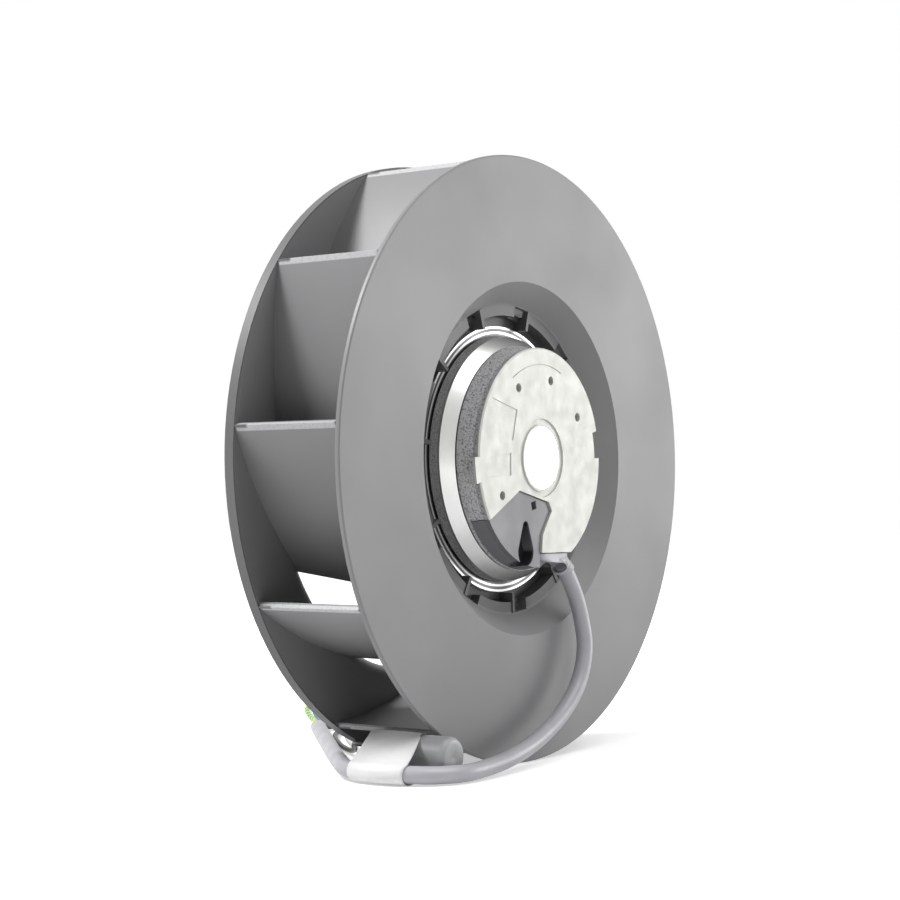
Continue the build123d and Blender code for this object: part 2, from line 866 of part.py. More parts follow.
def winding(name, slot_inner, slot_outer, head_inner, head_outer, front_length, rear_length):
    """A winding as one solid: a bar in every slot, and a rounded head past each core end."""
    with BuildPart() as coil:
        with BuildSketch(face_plane(front_insulator_y)):
            with PolarLocations(0, slot_count):
                Polygon(*slot_points(slot_inner, slot_outer, coil_clearance), align=None)
        extrude(amount=front_insulator_y - rear_insulator_end_y)
        heads = (
            (front_insulator_y, front_insulator_y - front_length),
            (rear_insulator_end_y, rear_insulator_end_y + rear_length),
        )
        for root_y, top_y in heads:
            with BuildSketch(face_plane(min(root_y, top_y))):
                Circle(head_outer)
                Circle(head_inner, mode=Mode.SUBTRACT)
            extrude(amount=-abs(top_y - root_y))
            head_rims = coil.edges().filter_by(GeomType.CIRCLE).filter_by(
                lambda rim: abs(rim.center().Y - top_y) < fit
            )
            fillet(head_rims, radius=head_fillet)
    save(coil.part, name)


save(lamination(core_front_y, core_length, tube_radius + fit, slot_mouth_width), "stator_core")
save(
    lamination(front_insulator_y, insulator_wall, tube_radius + 5 * fit, slot_mouth_width),
    "front_slot_insulator",
)
save(
    lamination(core_back_y, insulator_wall, tube_radius + 5 * fit, slot_mouth_width),
    "rear_slot_insulator",
)
winding(
    "main_winding",
    coil_split_radius + coil_clearance,
    slot_outer_radius - coil_clearance,
    main_head_inner_radius,
    main_head_outer_radius,
    main_head_front_length,
    main_head_rear_length,
)
winding(
    "start_winding",
    slot_inner_radius + coil_clearance,
    coil_split_radius - coil_clearance,
    slot_inner_radius - head_undercut,
    coil_split_radius - 2 * coil_clearance,
    start_head_front_length,
    start_head_rear_length,
)

# Thermal protector, tied on the front head of the main winding
head_middle_radius = (main_head_inner_radius + main_head_outer_radius) / 2
head_front_y = front_insulator_y - main_head_front_length
with BuildPart() as thermal_protector:
    with BuildSketch(face_plane(head_front_y - protector_height)):
        with PolarLocations(head_middle_radius, 1, protector_angle):
            RectangleRounded(protector_width, protector_length, protector_fillet)
    extrude(amount=-protector_height)

save(thermal_protector.part, "thermal_protector")

# Capacitor beside the impeller, with rounded ends
with BuildPart() as capacitor:
    with BuildSketch(face_plane(capacitor_place[1])):
        with Locations((capacitor_place[0], capacitor_place[2])):
            Circle(capacitor_radius)
    extrude(amount=-capacitor_length)
    fillet(capacitor.edges().sort_by(Axis.Y)[0], radius=capacitor_fillet)

save(capacitor.part, "capacitor")


def route_at(points, y):
    """Where a route crosses the plane at y, on the straight run that passes it."""
    for before, after in zip(points, points[1:]):
        if before[1] <= y < after[1]:
            share = (y - before[1]) / (after[1] - before[1])
            return tuple(a + share * (b - a) for a, b in zip(before, after))
    return points[-1]


def band_outline(y, wall):
    """Outline that wraps the capacitor and the sheath at y, clear of both, wall further out."""
    sheath_point = route_at(sheath_route, y)
    with BuildSketch(face_plane(y)) as wrapped:
        with Locations((capacitor_place[0], capacitor_place[2])):
            Circle(capacitor_radius + band_clearance + wall)
        with Locations((sheath_point[0], sheath_point[2])):
            Circle(sheath_diameter / 2 + band_sheath_clearance + wall)
        make_hull()
    return wrapped.sketch


band_stations = [
    band_start_y + (band_end_y - band_start_y) * step / (band_sections - 1)
    for step in range(band_sections)
]
with BuildPart() as label_band:
    loft([band_outline(y, band_wall).faces()[0] for y in band_stations])
    loft([band_outline(y, 0).faces()[0] for y in band_stations], mode=Mode.SUBTRACT)

save(label_band.part, "label_band")


def fillet_radii(points):
    """One radius for each corner of a route: as large as the shorter of its two runs allows."""
    radii = []
    for before, corner, after in zip(points, points[1:], points[2:]):
        run_in = Vector(*corner) - Vector(*before)
        run_out = Vector(*after) - Vector(*corner)
        half_turn = radians(run_in.get_angle(run_out)) / 2
        radii.append(run_share * min(run_in.length, run_out.length) / tan(half_turn))
    return radii


def cord(name, points, diameter):
    """A round cord along straight runs joined by tangent arcs."""
    radii = fillet_radii(points)
    with BuildPart() as tube:
        with BuildLine() as route:
            FilletPolyline(*points, radius=radii)
        path = route.wires()[0]
        with BuildSketch(Plane(origin=path @ 0, z_dir=path % 0)):
            Circle(diameter / 2)
        sweep()
    length = path.length
    expected = pi * diameter**2 / 4 * length
    print(name, "length", round(length, 1), "radii", [round(radius, 1) for radius in radii])
    print(name, "volume", round(tube.part.volume, 1), "section x length", round(expected, 1))
    save(tube.part, name)


cord("cable_sheath", sheath_route, sheath_diameter)
wire_routes = {
    "earth_conductor": earth_route,
    "neutral_conductor": neutral_route,
    "brown_conductor": brown_route,
    "black_conductor": black_route,
    "white_capacitor_lead": white_lead_route,
    "black_capacitor_lead": black_lead_route,
}
for wire_name, wire_route in wire_routes.items():
    cord(wire_name, wire_route, wire_diameter)


def on_wire_ends(start, radius, length):
    """One cylinder past the far end of each wire, start millimetres along its heading."""
    with BuildPart() as ends:
        for wire_route in wire_routes.values():
            tip = Vector(*wire_route[-1])
            heading = (tip - Vector(*wire_route[-2])).normalized()
            with BuildSketch(Plane(origin=tip + heading * start, z_dir=heading)):
                Circle(radius)
            extrude(amount=length)
    return ends.part


save(on_wire_ends(0, ferrule_collar_radius, ferrule_collar_length), "ferrule_collars")
save(on_wire_ends(ferrule_collar_length, ferrule_pin_radius, ferrule_pin_length), "ferrule_pins")
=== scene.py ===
"""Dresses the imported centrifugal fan: finishes for its solids, its cords, and the stage."""

import bpy
import numpy as np
from bpy.props import FloatProperty, FloatVectorProperty, IntProperty, PointerProperty
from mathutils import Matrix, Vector


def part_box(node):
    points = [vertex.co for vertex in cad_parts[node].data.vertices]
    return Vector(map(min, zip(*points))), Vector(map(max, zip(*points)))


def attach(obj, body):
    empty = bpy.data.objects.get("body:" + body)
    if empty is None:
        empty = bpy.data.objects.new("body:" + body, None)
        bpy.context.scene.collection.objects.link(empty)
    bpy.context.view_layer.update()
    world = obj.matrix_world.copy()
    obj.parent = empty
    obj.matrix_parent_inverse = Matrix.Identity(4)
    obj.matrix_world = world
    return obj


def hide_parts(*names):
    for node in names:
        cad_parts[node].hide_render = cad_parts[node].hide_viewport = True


bl_info = {
    "name": "Centrifugal fan",
    "version": (1, 0, 0),
    "blender": (4, 5, 0),
    "location": "View3D > Sidebar > Fan",
    "description": "Finishes, cords and stage for a centrifugal fan with an external rotor motor",
    "category": "Object",
}

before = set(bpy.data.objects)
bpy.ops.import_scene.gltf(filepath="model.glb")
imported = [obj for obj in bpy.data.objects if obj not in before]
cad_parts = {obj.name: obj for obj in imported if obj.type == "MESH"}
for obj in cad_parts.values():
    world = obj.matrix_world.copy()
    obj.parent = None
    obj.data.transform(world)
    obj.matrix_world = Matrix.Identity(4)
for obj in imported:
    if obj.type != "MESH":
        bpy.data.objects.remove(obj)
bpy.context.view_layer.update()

# Routes of the cords, in metres, from the end that leaves the fan or the capacitor
CABLE_ROUTE = [
    (0.0186, 0.0031, -0.0389),
    (0.0229, 0.0026, -0.0446),
    (0.0258, 0.0012, -0.0523),
    (0.027, -0.0002, -0.0602),
    (0.0274, -0.0016, -0.07),
    (0.0215, -0.0026, -0.0825),
    (0.008, -0.0034, -0.0932),
    (-0.011, -0.005, -0.1008),
    (-0.033, -0.0072, -0.1052),
    (-0.0512, -0.0085, -0.1065),
    (-0.0628, -0.0085, -0.1067),
    (-0.0731, -0.0032, -0.1066),
    (-0.0799, 0.0063, -0.1061),
    (-0.0816, 0.0177, -0.106),
    (-0.0778, 0.0287, -0.106),
    (-0.0693, 0.0368, -0.1062),
    (-0.056, 0.0493, -0.1067),
    (-0.041, 0.0633, -0.107),
    (-0.024, 0.079, -0.107),
    (0.003, 0.1042, -0.107),
    (0.026, 0.1255, -0.107),
]
EARTH_ROUTE = [
    (0.02525, 0.12625, -0.10594),
    (0.03125, 0.13225, -0.10594),
    (0.048, 0.1445, -0.1074),
    (0.066, 0.162, -0.1089),
    (0.085, 0.18, -0.1089),
    (0.103, 0.1955, -0.1089),
    (0.122, 0.2045, -0.1085),
]
NEUTRAL_ROUTE = [
    (0.02675, 0.12475, -0.10594),
    (0.03275, 0.13075, -0.10594),
    (0.0495, 0.142, -0.1074),
    (0.068, 0.16, -0.1089),
    (0.0875, 0.178, -0.1089),
    (0.106, 0.1925, -0.1089),
    (0.125, 0.2005, -0.1085),
]
BROWN_ROUTE = [
    (0.02525, 0.12625, -0.10806),
    (0.03125, 0.13225, -0.10806),
    (0.0455, 0.135, -0.1089),
    (0.062, 0.15, -0.1089),
    (0.081, 0.1675, -0.1089),
    (0.1, 0.184, -0.1089),
    (0.1185, 0.193, -0.1085),
]
BLACK_ROUTE = [
    (0.02675, 0.12475, -0.10806),
    (0.03275, 0.13075, -0.10806),
    (0.0475, 0.131, -0.1089),
    (0.064, 0.1415, -0.1089),
    (0.083, 0.1535, -0.1089),
    (0.101, 0.165, -0.1089),
    (0.118, 0.172, -0.1085),
]
WHITE_LEAD_ROUTE = [
    (-0.0556, 0.031, -0.1014),
    (-0.0556, 0.037, -0.1014),
    (-0.0465, 0.0465, -0.1046),
    (-0.03, 0.0585, -0.1086),
    (-0.0095, 0.078, -0.1089),
    (0.012, 0.0998, -0.1089),
    (0.0325, 0.1145, -0.1089),
    (0.055, 0.1215, -0.1089),
    (0.077, 0.1265, -0.1085),
]
BLACK_LEAD_ROUTE = [
    (-0.0604, 0.031, -0.0998),
    (-0.0604, 0.037, -0.0998),
    (-0.052, 0.0455, -0.101),
    (-0.035, 0.058, -0.1064),
    (-0.015, 0.0788, -0.1089),
    (0.006, 0.1005, -0.1089),
    (0.027, 0.1175, -0.1089),
    (0.048, 0.1265, -0.1089),
    (0.07, 0.132, -0.1085),
]

# Each wire: piece, its route, its real length, its material slot and the CAD node it stands for
WIRES = (
    ("earth_wire", EARTH_ROUTE, 0.1252, "wire_earth", "earth_conductor"),
    ("neutral_wire", NEUTRAL_ROUTE, 0.1250, "wire_blue", "neutral_conductor"),
    ("brown_wire", BROWN_ROUTE, 0.1162, "wire_brown", "brown_conductor"),
    ("black_wire", BLACK_ROUTE, 0.1043, "wire_black", "black_conductor"),
    ("white_lead", WHITE_LEAD_ROUTE, 0.1692, "wire_white", "white_capacitor_lead"),
    ("black_lead", BLACK_LEAD_ROUTE, 0.1704, "wire_black", "black_capacitor_lead"),
)

# The cover's wire duct: its narrow top, its wide foot, the radius at each, the soft edge of its
# shade, and the places along the fan axis between which that shade deepens
DUCT_TOP = (-0.0095, 0.0, -0.0246)
DUCT_FOOT = (-0.0094, 0.0, -0.034)
DUCT_RADII = (0.0018, 0.005)
DUCT_EDGE = 0.0004
DUCT_DEPTHS = (0.0009, 0.0016)

# Where finishes and the impeller's painted highlight and painted shade change: the two radii
# from the fan axis, or the two places along it, between which a mask goes from 0 to 1
# Blade tips and the blades' span: bounds of the painted highlight along the trailing edges
BLADE_TIP_RADIUS = (0.1088, 0.109)
BLADE_START = (0.0081, 0.0085)
BLADE_END = (0.0506, 0.0502)
# Bounds of the painted shade on the shroud's rim
RIM_RADIUS = (0.1093, 0.1097)
RIM_START = (0.045, 0.046)
# Radius inside which the hollow round the motor has painted shade
RECESS_RADIUS = (0.0568, 0.0560)
SKIRT_START = (0.0006, 0.0012)
SKIRT_RADIUS = (0.036, 0.038)
CAGE_BAND_START = (0.0142, 0.0150)
COLLAR_RING_INSIDE = (0.0459, 0.0461)
COLLAR_RING_OUTSIDE = (0.0469, 0.0467)
COLLAR_EDGE_RADIUS = (0.0478, 0.0480)

# The two ejector pin marks on the impeller's plate: their centres, and the edges of their rings
PIN_MARKS = ((-0.0369, 0, 0.0647), (-0.0044, 0, 0.0756))
PIN_RING_INSIDE = (0.0020, 0.0023)
PIN_RING_OUTSIDE = (0.0028, 0.0025)

# The earth wire's halves: how fast they wind, in radians per metre, the height of the wire's
# middle, and how fast one half gives way to the other above it
EARTH_TWIST = 420.0
EARTH_MIDDLE_Z = -0.1075
EARTH_SLOPE = 700.0

# The grommet: the far end of its block along the flange's flat, the block's depth behind the
# face, how far its top lies below the CAD's, how far it runs over the cable, its wall there, and
# the sections and points that it is made of
GROMMET_END_X = 0.0193
GROMMET_DEPTH = 0.0060
GROMMET_INSET = 0.0001
GROMMET_OVERLAP = 0.0025
GROMMET_WALL = 0.00035
GROMMET_STEPS = 60
GROMMET_SIDES = 96

# The grommet's funnel: how hard its ends pull on its centre line, the share of its length where
# it starts to turn, how soon it has the cable's size, and where its ribs start, with their
# number and their height as a share of the cable's radius
FUNNEL_PULL = 0.45
FUNNEL_TURN_START = 0.35
FUNNEL_GROWTH = 1.15
RIB_START = 0.6
RIB_COUNT = 3
RIB_RISE = 0.04

# The capacitor's case: the radius of its foot's and its lip's edges, the width of the lip, the
# depth of the potting behind it and its slope, the dimple in the foot, and the small flat at the
# middle of each end
CASE_FOOT = 0.0022
CASE_LIP = 0.0005
CASE_RIM = 0.0012
CASE_POTTING_DEPTH = 0.0009
CASE_SLOPE = 0.0002
CASE_DIMPLE_DEPTH = 0.0002
CASE_DIMPLE_RADIUS = 0.0012
CASE_CENTRE = 0.0004

# The film band: how much nearer to the mounting face it lies at the cable than at the capacitor,
# its gap to each, its low waves, with their shift along the band in radians per metre, and the
# stations and points that it is made of
BAND_LEAN = 0.0075
BAND_CASE_GAP = 0.00022
BAND_CABLE_GAP = 0.0003
BAND_WAVE_DEPTH = 0.00012
BAND_WAVES = 3
BAND_WAVE_SHIFT = 260
BAND_STATIONS = 25
BAND_SIDES = 160

# Places of the capacitor, the band and the floor, read from the frame
CAPACITOR_LOW, CAPACITOR_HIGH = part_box("capacitor")
BAND_LOW, BAND_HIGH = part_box("label_band")
FLOOR_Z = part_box("impeller_back_plate")[0].z

# The floor: half its side, its gap under the fan, and the distances from the fan between which
# it glows more, with its glow at each
FLOOR_REACH = 8.0
FLOOR_GAP = 0.0001
FLOOR_FADE = (0.2, 0.6)
FLOOR_GLOW = (0.5, 1.0)

# Each lamp: name, place, target, side and the setting that holds its power
LAMPS = (
    ("key_lamp", (1.8, -1.05, 0.3), (0, 0, 0), 1.0, "key_power"),
    ("top_lamp", (0.1, -0.7, 1.2), (0, 0, -0.05), 0.9, "top_power"),
    ("left_lamp", (-0.8, 0.7, 1.1), (0, 0.03, 0), 0.5, "left_power"),
)

# The camera: the width of its sensor, in millimetres, and the nearest distance that it sees
SENSOR_WIDTH = 36
NEAREST_SEEN = 0.01


class FanColours(bpy.types.PropertyGroup):
    """Colours of the finishes that show most."""

    impeller: FloatVectorProperty(
        name="Impeller",
        description="Moulded plastic of the impeller",
        subtype="COLOR",
        default=(0.235, 0.235, 0.24),
    )
    casting: FloatVectorProperty(
        name="Casting",
        description="Die cast skin of the mounting flange",
        subtype="COLOR",
        default=(0.62, 0.62, 0.585),
    )
    cable: FloatVectorProperty(
        name="Cable",
        description="Outer sheath of the cable and its grommet",
        subtype="COLOR",
        default=(0.47, 0.465, 0.5),
    )
    cover: FloatVectorProperty(
        name="Cover",
        description="Plastic cover over the terminals",
        subtype="COLOR",
        default=(0.18, 0.18, 0.19),
    )
    capacitor: FloatVectorProperty(
        name="Capacitor",
        description="Case of the run capacitor",
        subtype="COLOR",
        default=(0.4, 0.405, 0.415),
    )
    band: FloatVectorProperty(
        name="Band",
        description="Bare film band round capacitor and cable",
        subtype="COLOR",
        default=(0.82, 0.82, 0.82),
    )


class FanSizes(bpy.types.PropertyGroup):
    """Sizes of the soft parts."""

    cable_diameter: FloatProperty(
        name="Cable diameter",
        description="Outside diameter of the cable's sheath",
        subtype="DISTANCE",
        unit="LENGTH",
        default=0.006,
    )
    wire_diameter: FloatProperty(
        name="Wire diameter",
        description="Outside diameter of each insulated wire",
        subtype="DISTANCE",
        unit="LENGTH",
        default=0.002,
    )
    band_thickness: FloatProperty(
        name="Band thickness",
        description="Thickness of the film band",
        subtype="DISTANCE",
        unit="LENGTH",
        default=0.00025,
    )
    turned_sides: IntProperty(
        name="Turned sides",
        description="Sides of the turned pieces",
        default=96,
        min=24,
        max=256,
    )


class StageSettings(bpy.types.PropertyGroup):
    """Camera and light."""

    camera_place: FloatVectorProperty(
        name="Camera place",
        description="Where the camera stands",
        subtype="TRANSLATION",
        unit="LENGTH",
        default=(-0.60543, -0.39093, -0.02071),
    )
    camera_heading: FloatVectorProperty(
        name="Camera heading",
        description="Direction in which the camera looks",
        subtype="DIRECTION",
        default=(0.8137, 0.5804, 0.0328),
    )
    focal_length: FloatProperty(
        name="Focal length",
        description="Camera lens, in millimetres, on a 36 mm sensor",
        default=79.508,
        min=10,
        max=300,
    )
    key_power: FloatProperty(
        name="Key light",
        description="Power of the large soft light on the right, in watts",
        default=14.5,
        min=0,
        max=200,
    )
    top_power: FloatProperty(
        name="Top light",
        description="Power of the soft light above, in watts",
        default=10,
        min=0,
        max=200,
    )
    left_power: FloatProperty(
        name="Left light",
        description="Power of the soft light above on the left, in watts",
        default=22,
        min=0,
        max=200,
    )
    sky_strength: FloatProperty(
        name="Sky strength",
        description="Light that comes from all round",
        default=0.21,
        min=0,
        max=2,
    )


# Nodes


def fill_inputs(tree, node, inputs):
    """Gives a node its inputs, each a value or the socket that feeds it."""
    for key, value in inputs.items():
        if isinstance(value, bpy.types.NodeSocket):
            tree.links.new(value, node.inputs[key])
        else:
            node.inputs[key].default_value = value


def add_node(tree, kind, inputs=None, **settings):
    """One shader node, with its settings and its inputs."""
    node = tree.nodes.new("ShaderNode" + kind)
    for key, value in settings.items():
        setattr(node, key, value)
    fill_inputs(tree, node, inputs or {})
    return node


def maths(tree, operation, first, second=0.0, clamp=False):
    """The result of one Math node."""
    inputs = {0: first, 1: second}
    return add_node(tree, "Math", inputs, operation=operation, use_clamp=clamp).outputs[0]


def product(tree, first, *others):
    """The product of several values."""
    for other in others:
        first = maths(tree, "MULTIPLY", first, other)
    return first


def vector_maths(tree, operation, output, first, second=(0, 0, 0)):
    """The Vector or the Value that one Vector Math node puts out."""
    inputs = {0: first, 1: second}
    return add_node(tree, "VectorMath", inputs, operation=operation).outputs[output]


def mix_colours(tree, factor, first, second):
    """The colour of one Mix node, from first at factor 0 to second at factor 1."""
    inputs = {0: factor, 6: first, 7: second}
    return add_node(tree, "Mix", inputs, data_type="RGBA").outputs[2]


def spread(tree, value, low, high, start=0.0, end=1.0):
    """A value mapped from low..high to start..end, and kept between them."""
    inputs = {"Value": value, "From Min": low, "From Max": high, "To Min": start, "To Max": end}
    return add_node(tree, "MapRange", inputs).outputs["Result"]


def noise(tree, place, scale, detail, roughness=0.5):
    """The value of one Noise Texture node."""
    inputs = {"Vector": place, "Scale": scale, "Detail": detail, "Roughness": roughness}
    return add_node(tree, "TexNoise", inputs).outputs["Fac"]


def object_place(tree):
    """The place of a point in its object's coordinates, which are the frame's."""
    return add_node(tree, "TexCoord").outputs["Object"]


def split_place(tree):
    """The X, Y and Z of that place."""
    return add_node(tree, "SeparateXYZ", {0: object_place(tree)}).outputs


def shaded(colour, share=1.0):
    """A colour times share, with full alpha."""
    return (*(min(1, share * part) for part in colour[:3]), 1.0)


def start_group(name, inputs, outputs):
    """A new node group with named sockets: its tree, its inputs and its output node."""
    tree = bpy.data.node_groups.new(name, "ShaderNodeTree")
    kinds = {"colour": "NodeSocketColor", "value": "NodeSocketFloat"}
    for socket_name, kind, default in inputs:
        socket = tree.interface.new_socket(socket_name, in_out="INPUT", socket_type=kinds[kind])
        socket.default_value = default
    for socket_name, kind in outputs:
        tree.interface.new_socket(socket_name, in_out="OUTPUT", socket_type=kinds[kind])
    return tree, tree.nodes.new("NodeGroupInput").outputs, tree.nodes.new("NodeGroupOutput")


def place_group(tree, name, **inputs):
    """The outputs of one use of a node group. A key has _ where the input's name has a space."""
    node = tree.nodes.new("ShaderNodeGroup")
    node.node_tree = bpy.data.node_groups[name]
    fill_inputs(tree, node, {key.replace("_", " "): value for key, value in inputs.items()})
    return node.outputs


def build_grain_group():
    """Fine moulded or cast texture: two layers of noise, the second four times finer."""
    inputs = (("Scale", "value", 1500.0), ("Softness", "value", 0.5))
    tree, given, result = start_group("Fine Grain", inputs, (("Height", "value"),))
    place = object_place(tree)
    coarse = noise(tree, place, given["Scale"], 2.0)
    fine = noise(tree, place, maths(tree, "MULTIPLY", given["Scale"], 4.0), 1.0)
    shared = maths(tree, "MULTIPLY", coarse, given["Softness"])
    rest = maths(tree, "SUBTRACT", 1.0, given["Softness"])
    height = maths(tree, "ADD", shared, maths(tree, "MULTIPLY", fine, rest))
    fill_inputs(tree, result, {"Height": height})


def build_drift_group():
    """Slow change of tone over a surface, between two colours, by one broad noise."""
    inputs = (
        ("Colour", "colour", (0.5, 0.5, 0.5, 1)),
        ("Second Colour", "colour", (0.4, 0.4, 0.4, 1)),
        ("Scale", "value", 20.0),
        ("Strength", "value", 0.6),
    )
    outputs = (("Colour", "colour"), ("Mask", "value"))
    tree, given, result = start_group("Tone Drift", inputs, outputs)
    broad = noise(tree, object_place(tree), given["Scale"], 4.0, 0.6)
    mask = spread(tree, broad, 0.35, 0.65)
    factor = maths(tree, "MULTIPLY", mask, given["Strength"])
    mixed = mix_colours(tree, factor, given["Colour"], given["Second Colour"])
    fill_inputs(tree, result, {"Colour": mixed, "Mask": mask})


def build_speck_group():
    """Small dark specks: the tops of a fine noise. Cover says how much of it they take, and
    Softness how blurred their edges are."""
    inputs = (
        ("Colour", "colour", (0.5, 0.5, 0.5, 1)),
        ("Speck Colour", "colour", (0.1, 0.1, 0.1, 1)),
        ("Scale", "value", 900.0),
        ("Cover", "value", 0.5),
        ("Softness", "value", 0.07),
    )
    outputs = (("Colour", "colour"), ("Mask", "value"))
    tree, given, result = start_group("Dark Specks", inputs, outputs)
    fine = noise(tree, object_place(tree), given["Scale"], 3.0, 0.65)
    low = maths(tree, "SUBTRACT", 0.72, maths(tree, "MULTIPLY", given["Cover"], 0.3))
    high = maths(tree, "ADD", low, given["Softness"])
    mask = spread(tree, fine, low, high)
    mixed = mix_colours(tree, mask, given["Colour"], given["Speck Colour"])
    fill_inputs(tree, result, {"Colour": mixed, "Mask": mask})


def build_axis_group():
    """Place of a point as its distance from the fan axis and its place along it."""
    tree, _, result = start_group("Fan Axis", (), (("Radius", "value"), ("Along", "value")))
    parts = split_place(tree)
    squares = [maths(tree, "MULTIPLY", parts[key], parts[key]) for key in "XZ"]
    radius = maths(tree, "SQRT", maths(tree, "ADD", *squares))
    fill_inputs(tree, result, {"Radius": radius, "Along": parts["Y"]})


def build_turned_group():
    """Turning or drawing marks: noise that changes with radius and along the axis only."""
    inputs = (("Scale", "value", 3000.0),)
    tree, given, result = start_group("Turning Marks", inputs, (("Height", "value"),))
    axis = place_group(tree, "Fan Axis")
    across = add_node(tree, "CombineXYZ", {0: axis["Radius"], 1: axis["Along"]}).outputs[0]
    fill_inputs(tree, result, {"Height": noise(tree, across, given["Scale"], 2.0)})


def build_sheet_group():
    """Stack of punched sheets: thin dark joints at even steps along the fan axis."""
    inputs = (("Thickness", "value", 0.0005),)
    outputs = (("Height", "value"), ("Joint", "value"))
    tree, given, result = start_group("Sheet Stack", inputs, outputs)
    axis = place_group(tree, "Fan Axis")
    phase = maths(tree, "FRACT", maths(tree, "DIVIDE", axis["Along"], given["Thickness"]))
    centred = maths(tree, "ABSOLUTE", maths(tree, "SUBTRACT", phase, 0.5))
    joint = spread(tree, centred, 0.38, 0.48)
    height = maths(tree, "SUBTRACT", 1.0, joint)
    fill_inputs(tree, result, {"Height": height, "Joint": joint})


# The next two groups place the first one, so it is built before them
GROUP_BUILDERS = (
    build_axis_group,
    build_turned_group,
    build_sheet_group,
    build_grain_group,
    build_drift_group,
    build_speck_group,
)


# Materials


def start_material(name, **inputs):
    """A new material: its tree and its Principled shader. A key has _ where the input's name
    has a space."""
    material = bpy.data.materials.new(name)
    material.use_nodes = True
    tree = material.node_tree
    shader = tree.nodes["Principled BSDF"]
    fill_inputs(tree, shader, {key.replace("_", " "): value for key, value in inputs.items()})
    return tree, shader


def feed(tree, shader, colour, roughness, height, depth, strength=0.4):
    """Links what changes over the surface into the shader. Depth is the bump's, in metres."""
    bump = add_node(tree, "Bump", {"Height": height, "Distance": depth, "Strength": strength})
    inputs = {"Base Color": colour, "Roughness": roughness, "Normal": bump.outputs[0]}
    fill_inputs(tree, shader, inputs)


def tone_drift(tree, colour, second, scale, strength):
    """The colour of one Tone Drift group, and the mask that roughness can follow."""
    outputs = place_group(
        tree, "Tone Drift", Colour=colour, Second_Colour=second, Scale=scale, Strength=strength
    )
    return outputs["Colour"], outputs["Mask"]


def dark_specks(tree, colour, speck_colour, scale):
    """The colour of one Dark Specks group, as rough cast skin has them."""
    return place_group(
        tree,
        "Dark Specks",
        Colour=colour,
        Speck_Colour=speck_colour,
        Scale=scale,
        Cover=0.8,
        Softness=0.2,
    )["Colour"]


def fine_grain(tree, scale, softness=0.6):
    """The height of one Fine Grain group."""
    return place_group(tree, "Fine Grain", Scale=scale, Softness=softness)["Height"]


def turning_marks(tree, scale):
    """The height of one Turning Marks group."""
    return place_group(tree, "Turning Marks", Scale=scale)["Height"]


def pin_mark(tree, centre):
    """Ring that a mould's ejector pin leaves round centre: 1 on it, else 0."""
    distance = vector_maths(tree, "DISTANCE", "Value", object_place(tree), centre)
    return product(
        tree, spread(tree, distance, *PIN_RING_INSIDE), spread(tree, distance, *PIN_RING_OUTSIDE)
    )


def duct_shade(tree):
    """Inside of the cover's duct: deeper than its rim, and within its radius of the line from
    its narrow top to its wide foot. With p from 0 to 1 the share along that line, the radius
    grows from R0 to R1 as R0 + p (R1 - R0)."""
    parts = split_place(tree)
    flat = add_node(tree, "CombineXYZ", {0: parts["X"], 2: parts["Z"]}).outputs[0]
    top, foot = Vector(DUCT_TOP), Vector(DUCT_FOOT)
    line = foot - top
    offset = vector_maths(tree, "SUBTRACT", "Vector", flat, top)
    reach = vector_maths(tree, "DOT_PRODUCT", "Value", offset, line)
    share = maths(tree, "DIVIDE", reach, line.length_squared, clamp=True)
    nearest = add_node(tree, "VectorMath", {0: line, "Scale": share}, operation="SCALE")
    across = vector_maths(tree, "DISTANCE", "Value", offset, nearest.outputs[0])
    radius = spread(tree, share, 0, 1, *DUCT_RADII)
    inside = spread(tree, maths(tree, "SUBTRACT", radius, across), -DUCT_EDGE, 0.0)
    return product(tree, inside, spread(tree, parts["Y"], *DUCT_DEPTHS))


def impeller_plastic(name, colours):
    """Glass filled plastic: soft drift of tone, fine grain, a painted highlight along the blades'
    trailing edges, ringed by the ejector pins, and darker with painted shade on the shroud's rim
    and in the hollow round the motor."""
    tree, shader = start_material(name, Specular_IOR_Level=0.5)
    base = colours.impeller
    colour, mask = tone_drift(tree, shaded(base), shaded(base, 0.86), 9.0, 0.7)
    grain = fine_grain(tree, 1300.0)
    axis = place_group(tree, "Fan Axis")
    radius, along = axis["Radius"], axis["Along"]
    # Painted highlight: pale along the blades' trailing edges, patchy with the grain
    painted_edge_highlight = product(
        tree,
        spread(tree, radius, *BLADE_TIP_RADIUS),
        spread(tree, along, *BLADE_START),
        spread(tree, along, *BLADE_END),
        spread(tree, grain, 0.15, 0.5),
    )
    # Painted shade: darker on the shroud's rim
    rim = product(tree, spread(tree, radius, *RIM_RADIUS), spread(tree, along, *RIM_START))
    marks = [pin_mark(tree, centre) for centre in PIN_MARKS]
    mark = maths(tree, "MULTIPLY", maths(tree, "MAXIMUM", *marks), 0.6)
    # Painted shade: darker in the hollow round the motor
    painted_recess_shade = spread(tree, radius, *RECESS_RADIUS)
    for area, share in ((painted_edge_highlight, 2.2), (rim, 0.5), (mark, 0.7), (painted_recess_shade, 0.3)):
        colour = mix_colours(tree, area, colour, shaded(base, share))
    roughness = spread(tree, mask, 0, 1, 0.4, 0.5)
    feed(tree, shader, colour, roughness, grain, 0.00006, 0.35)


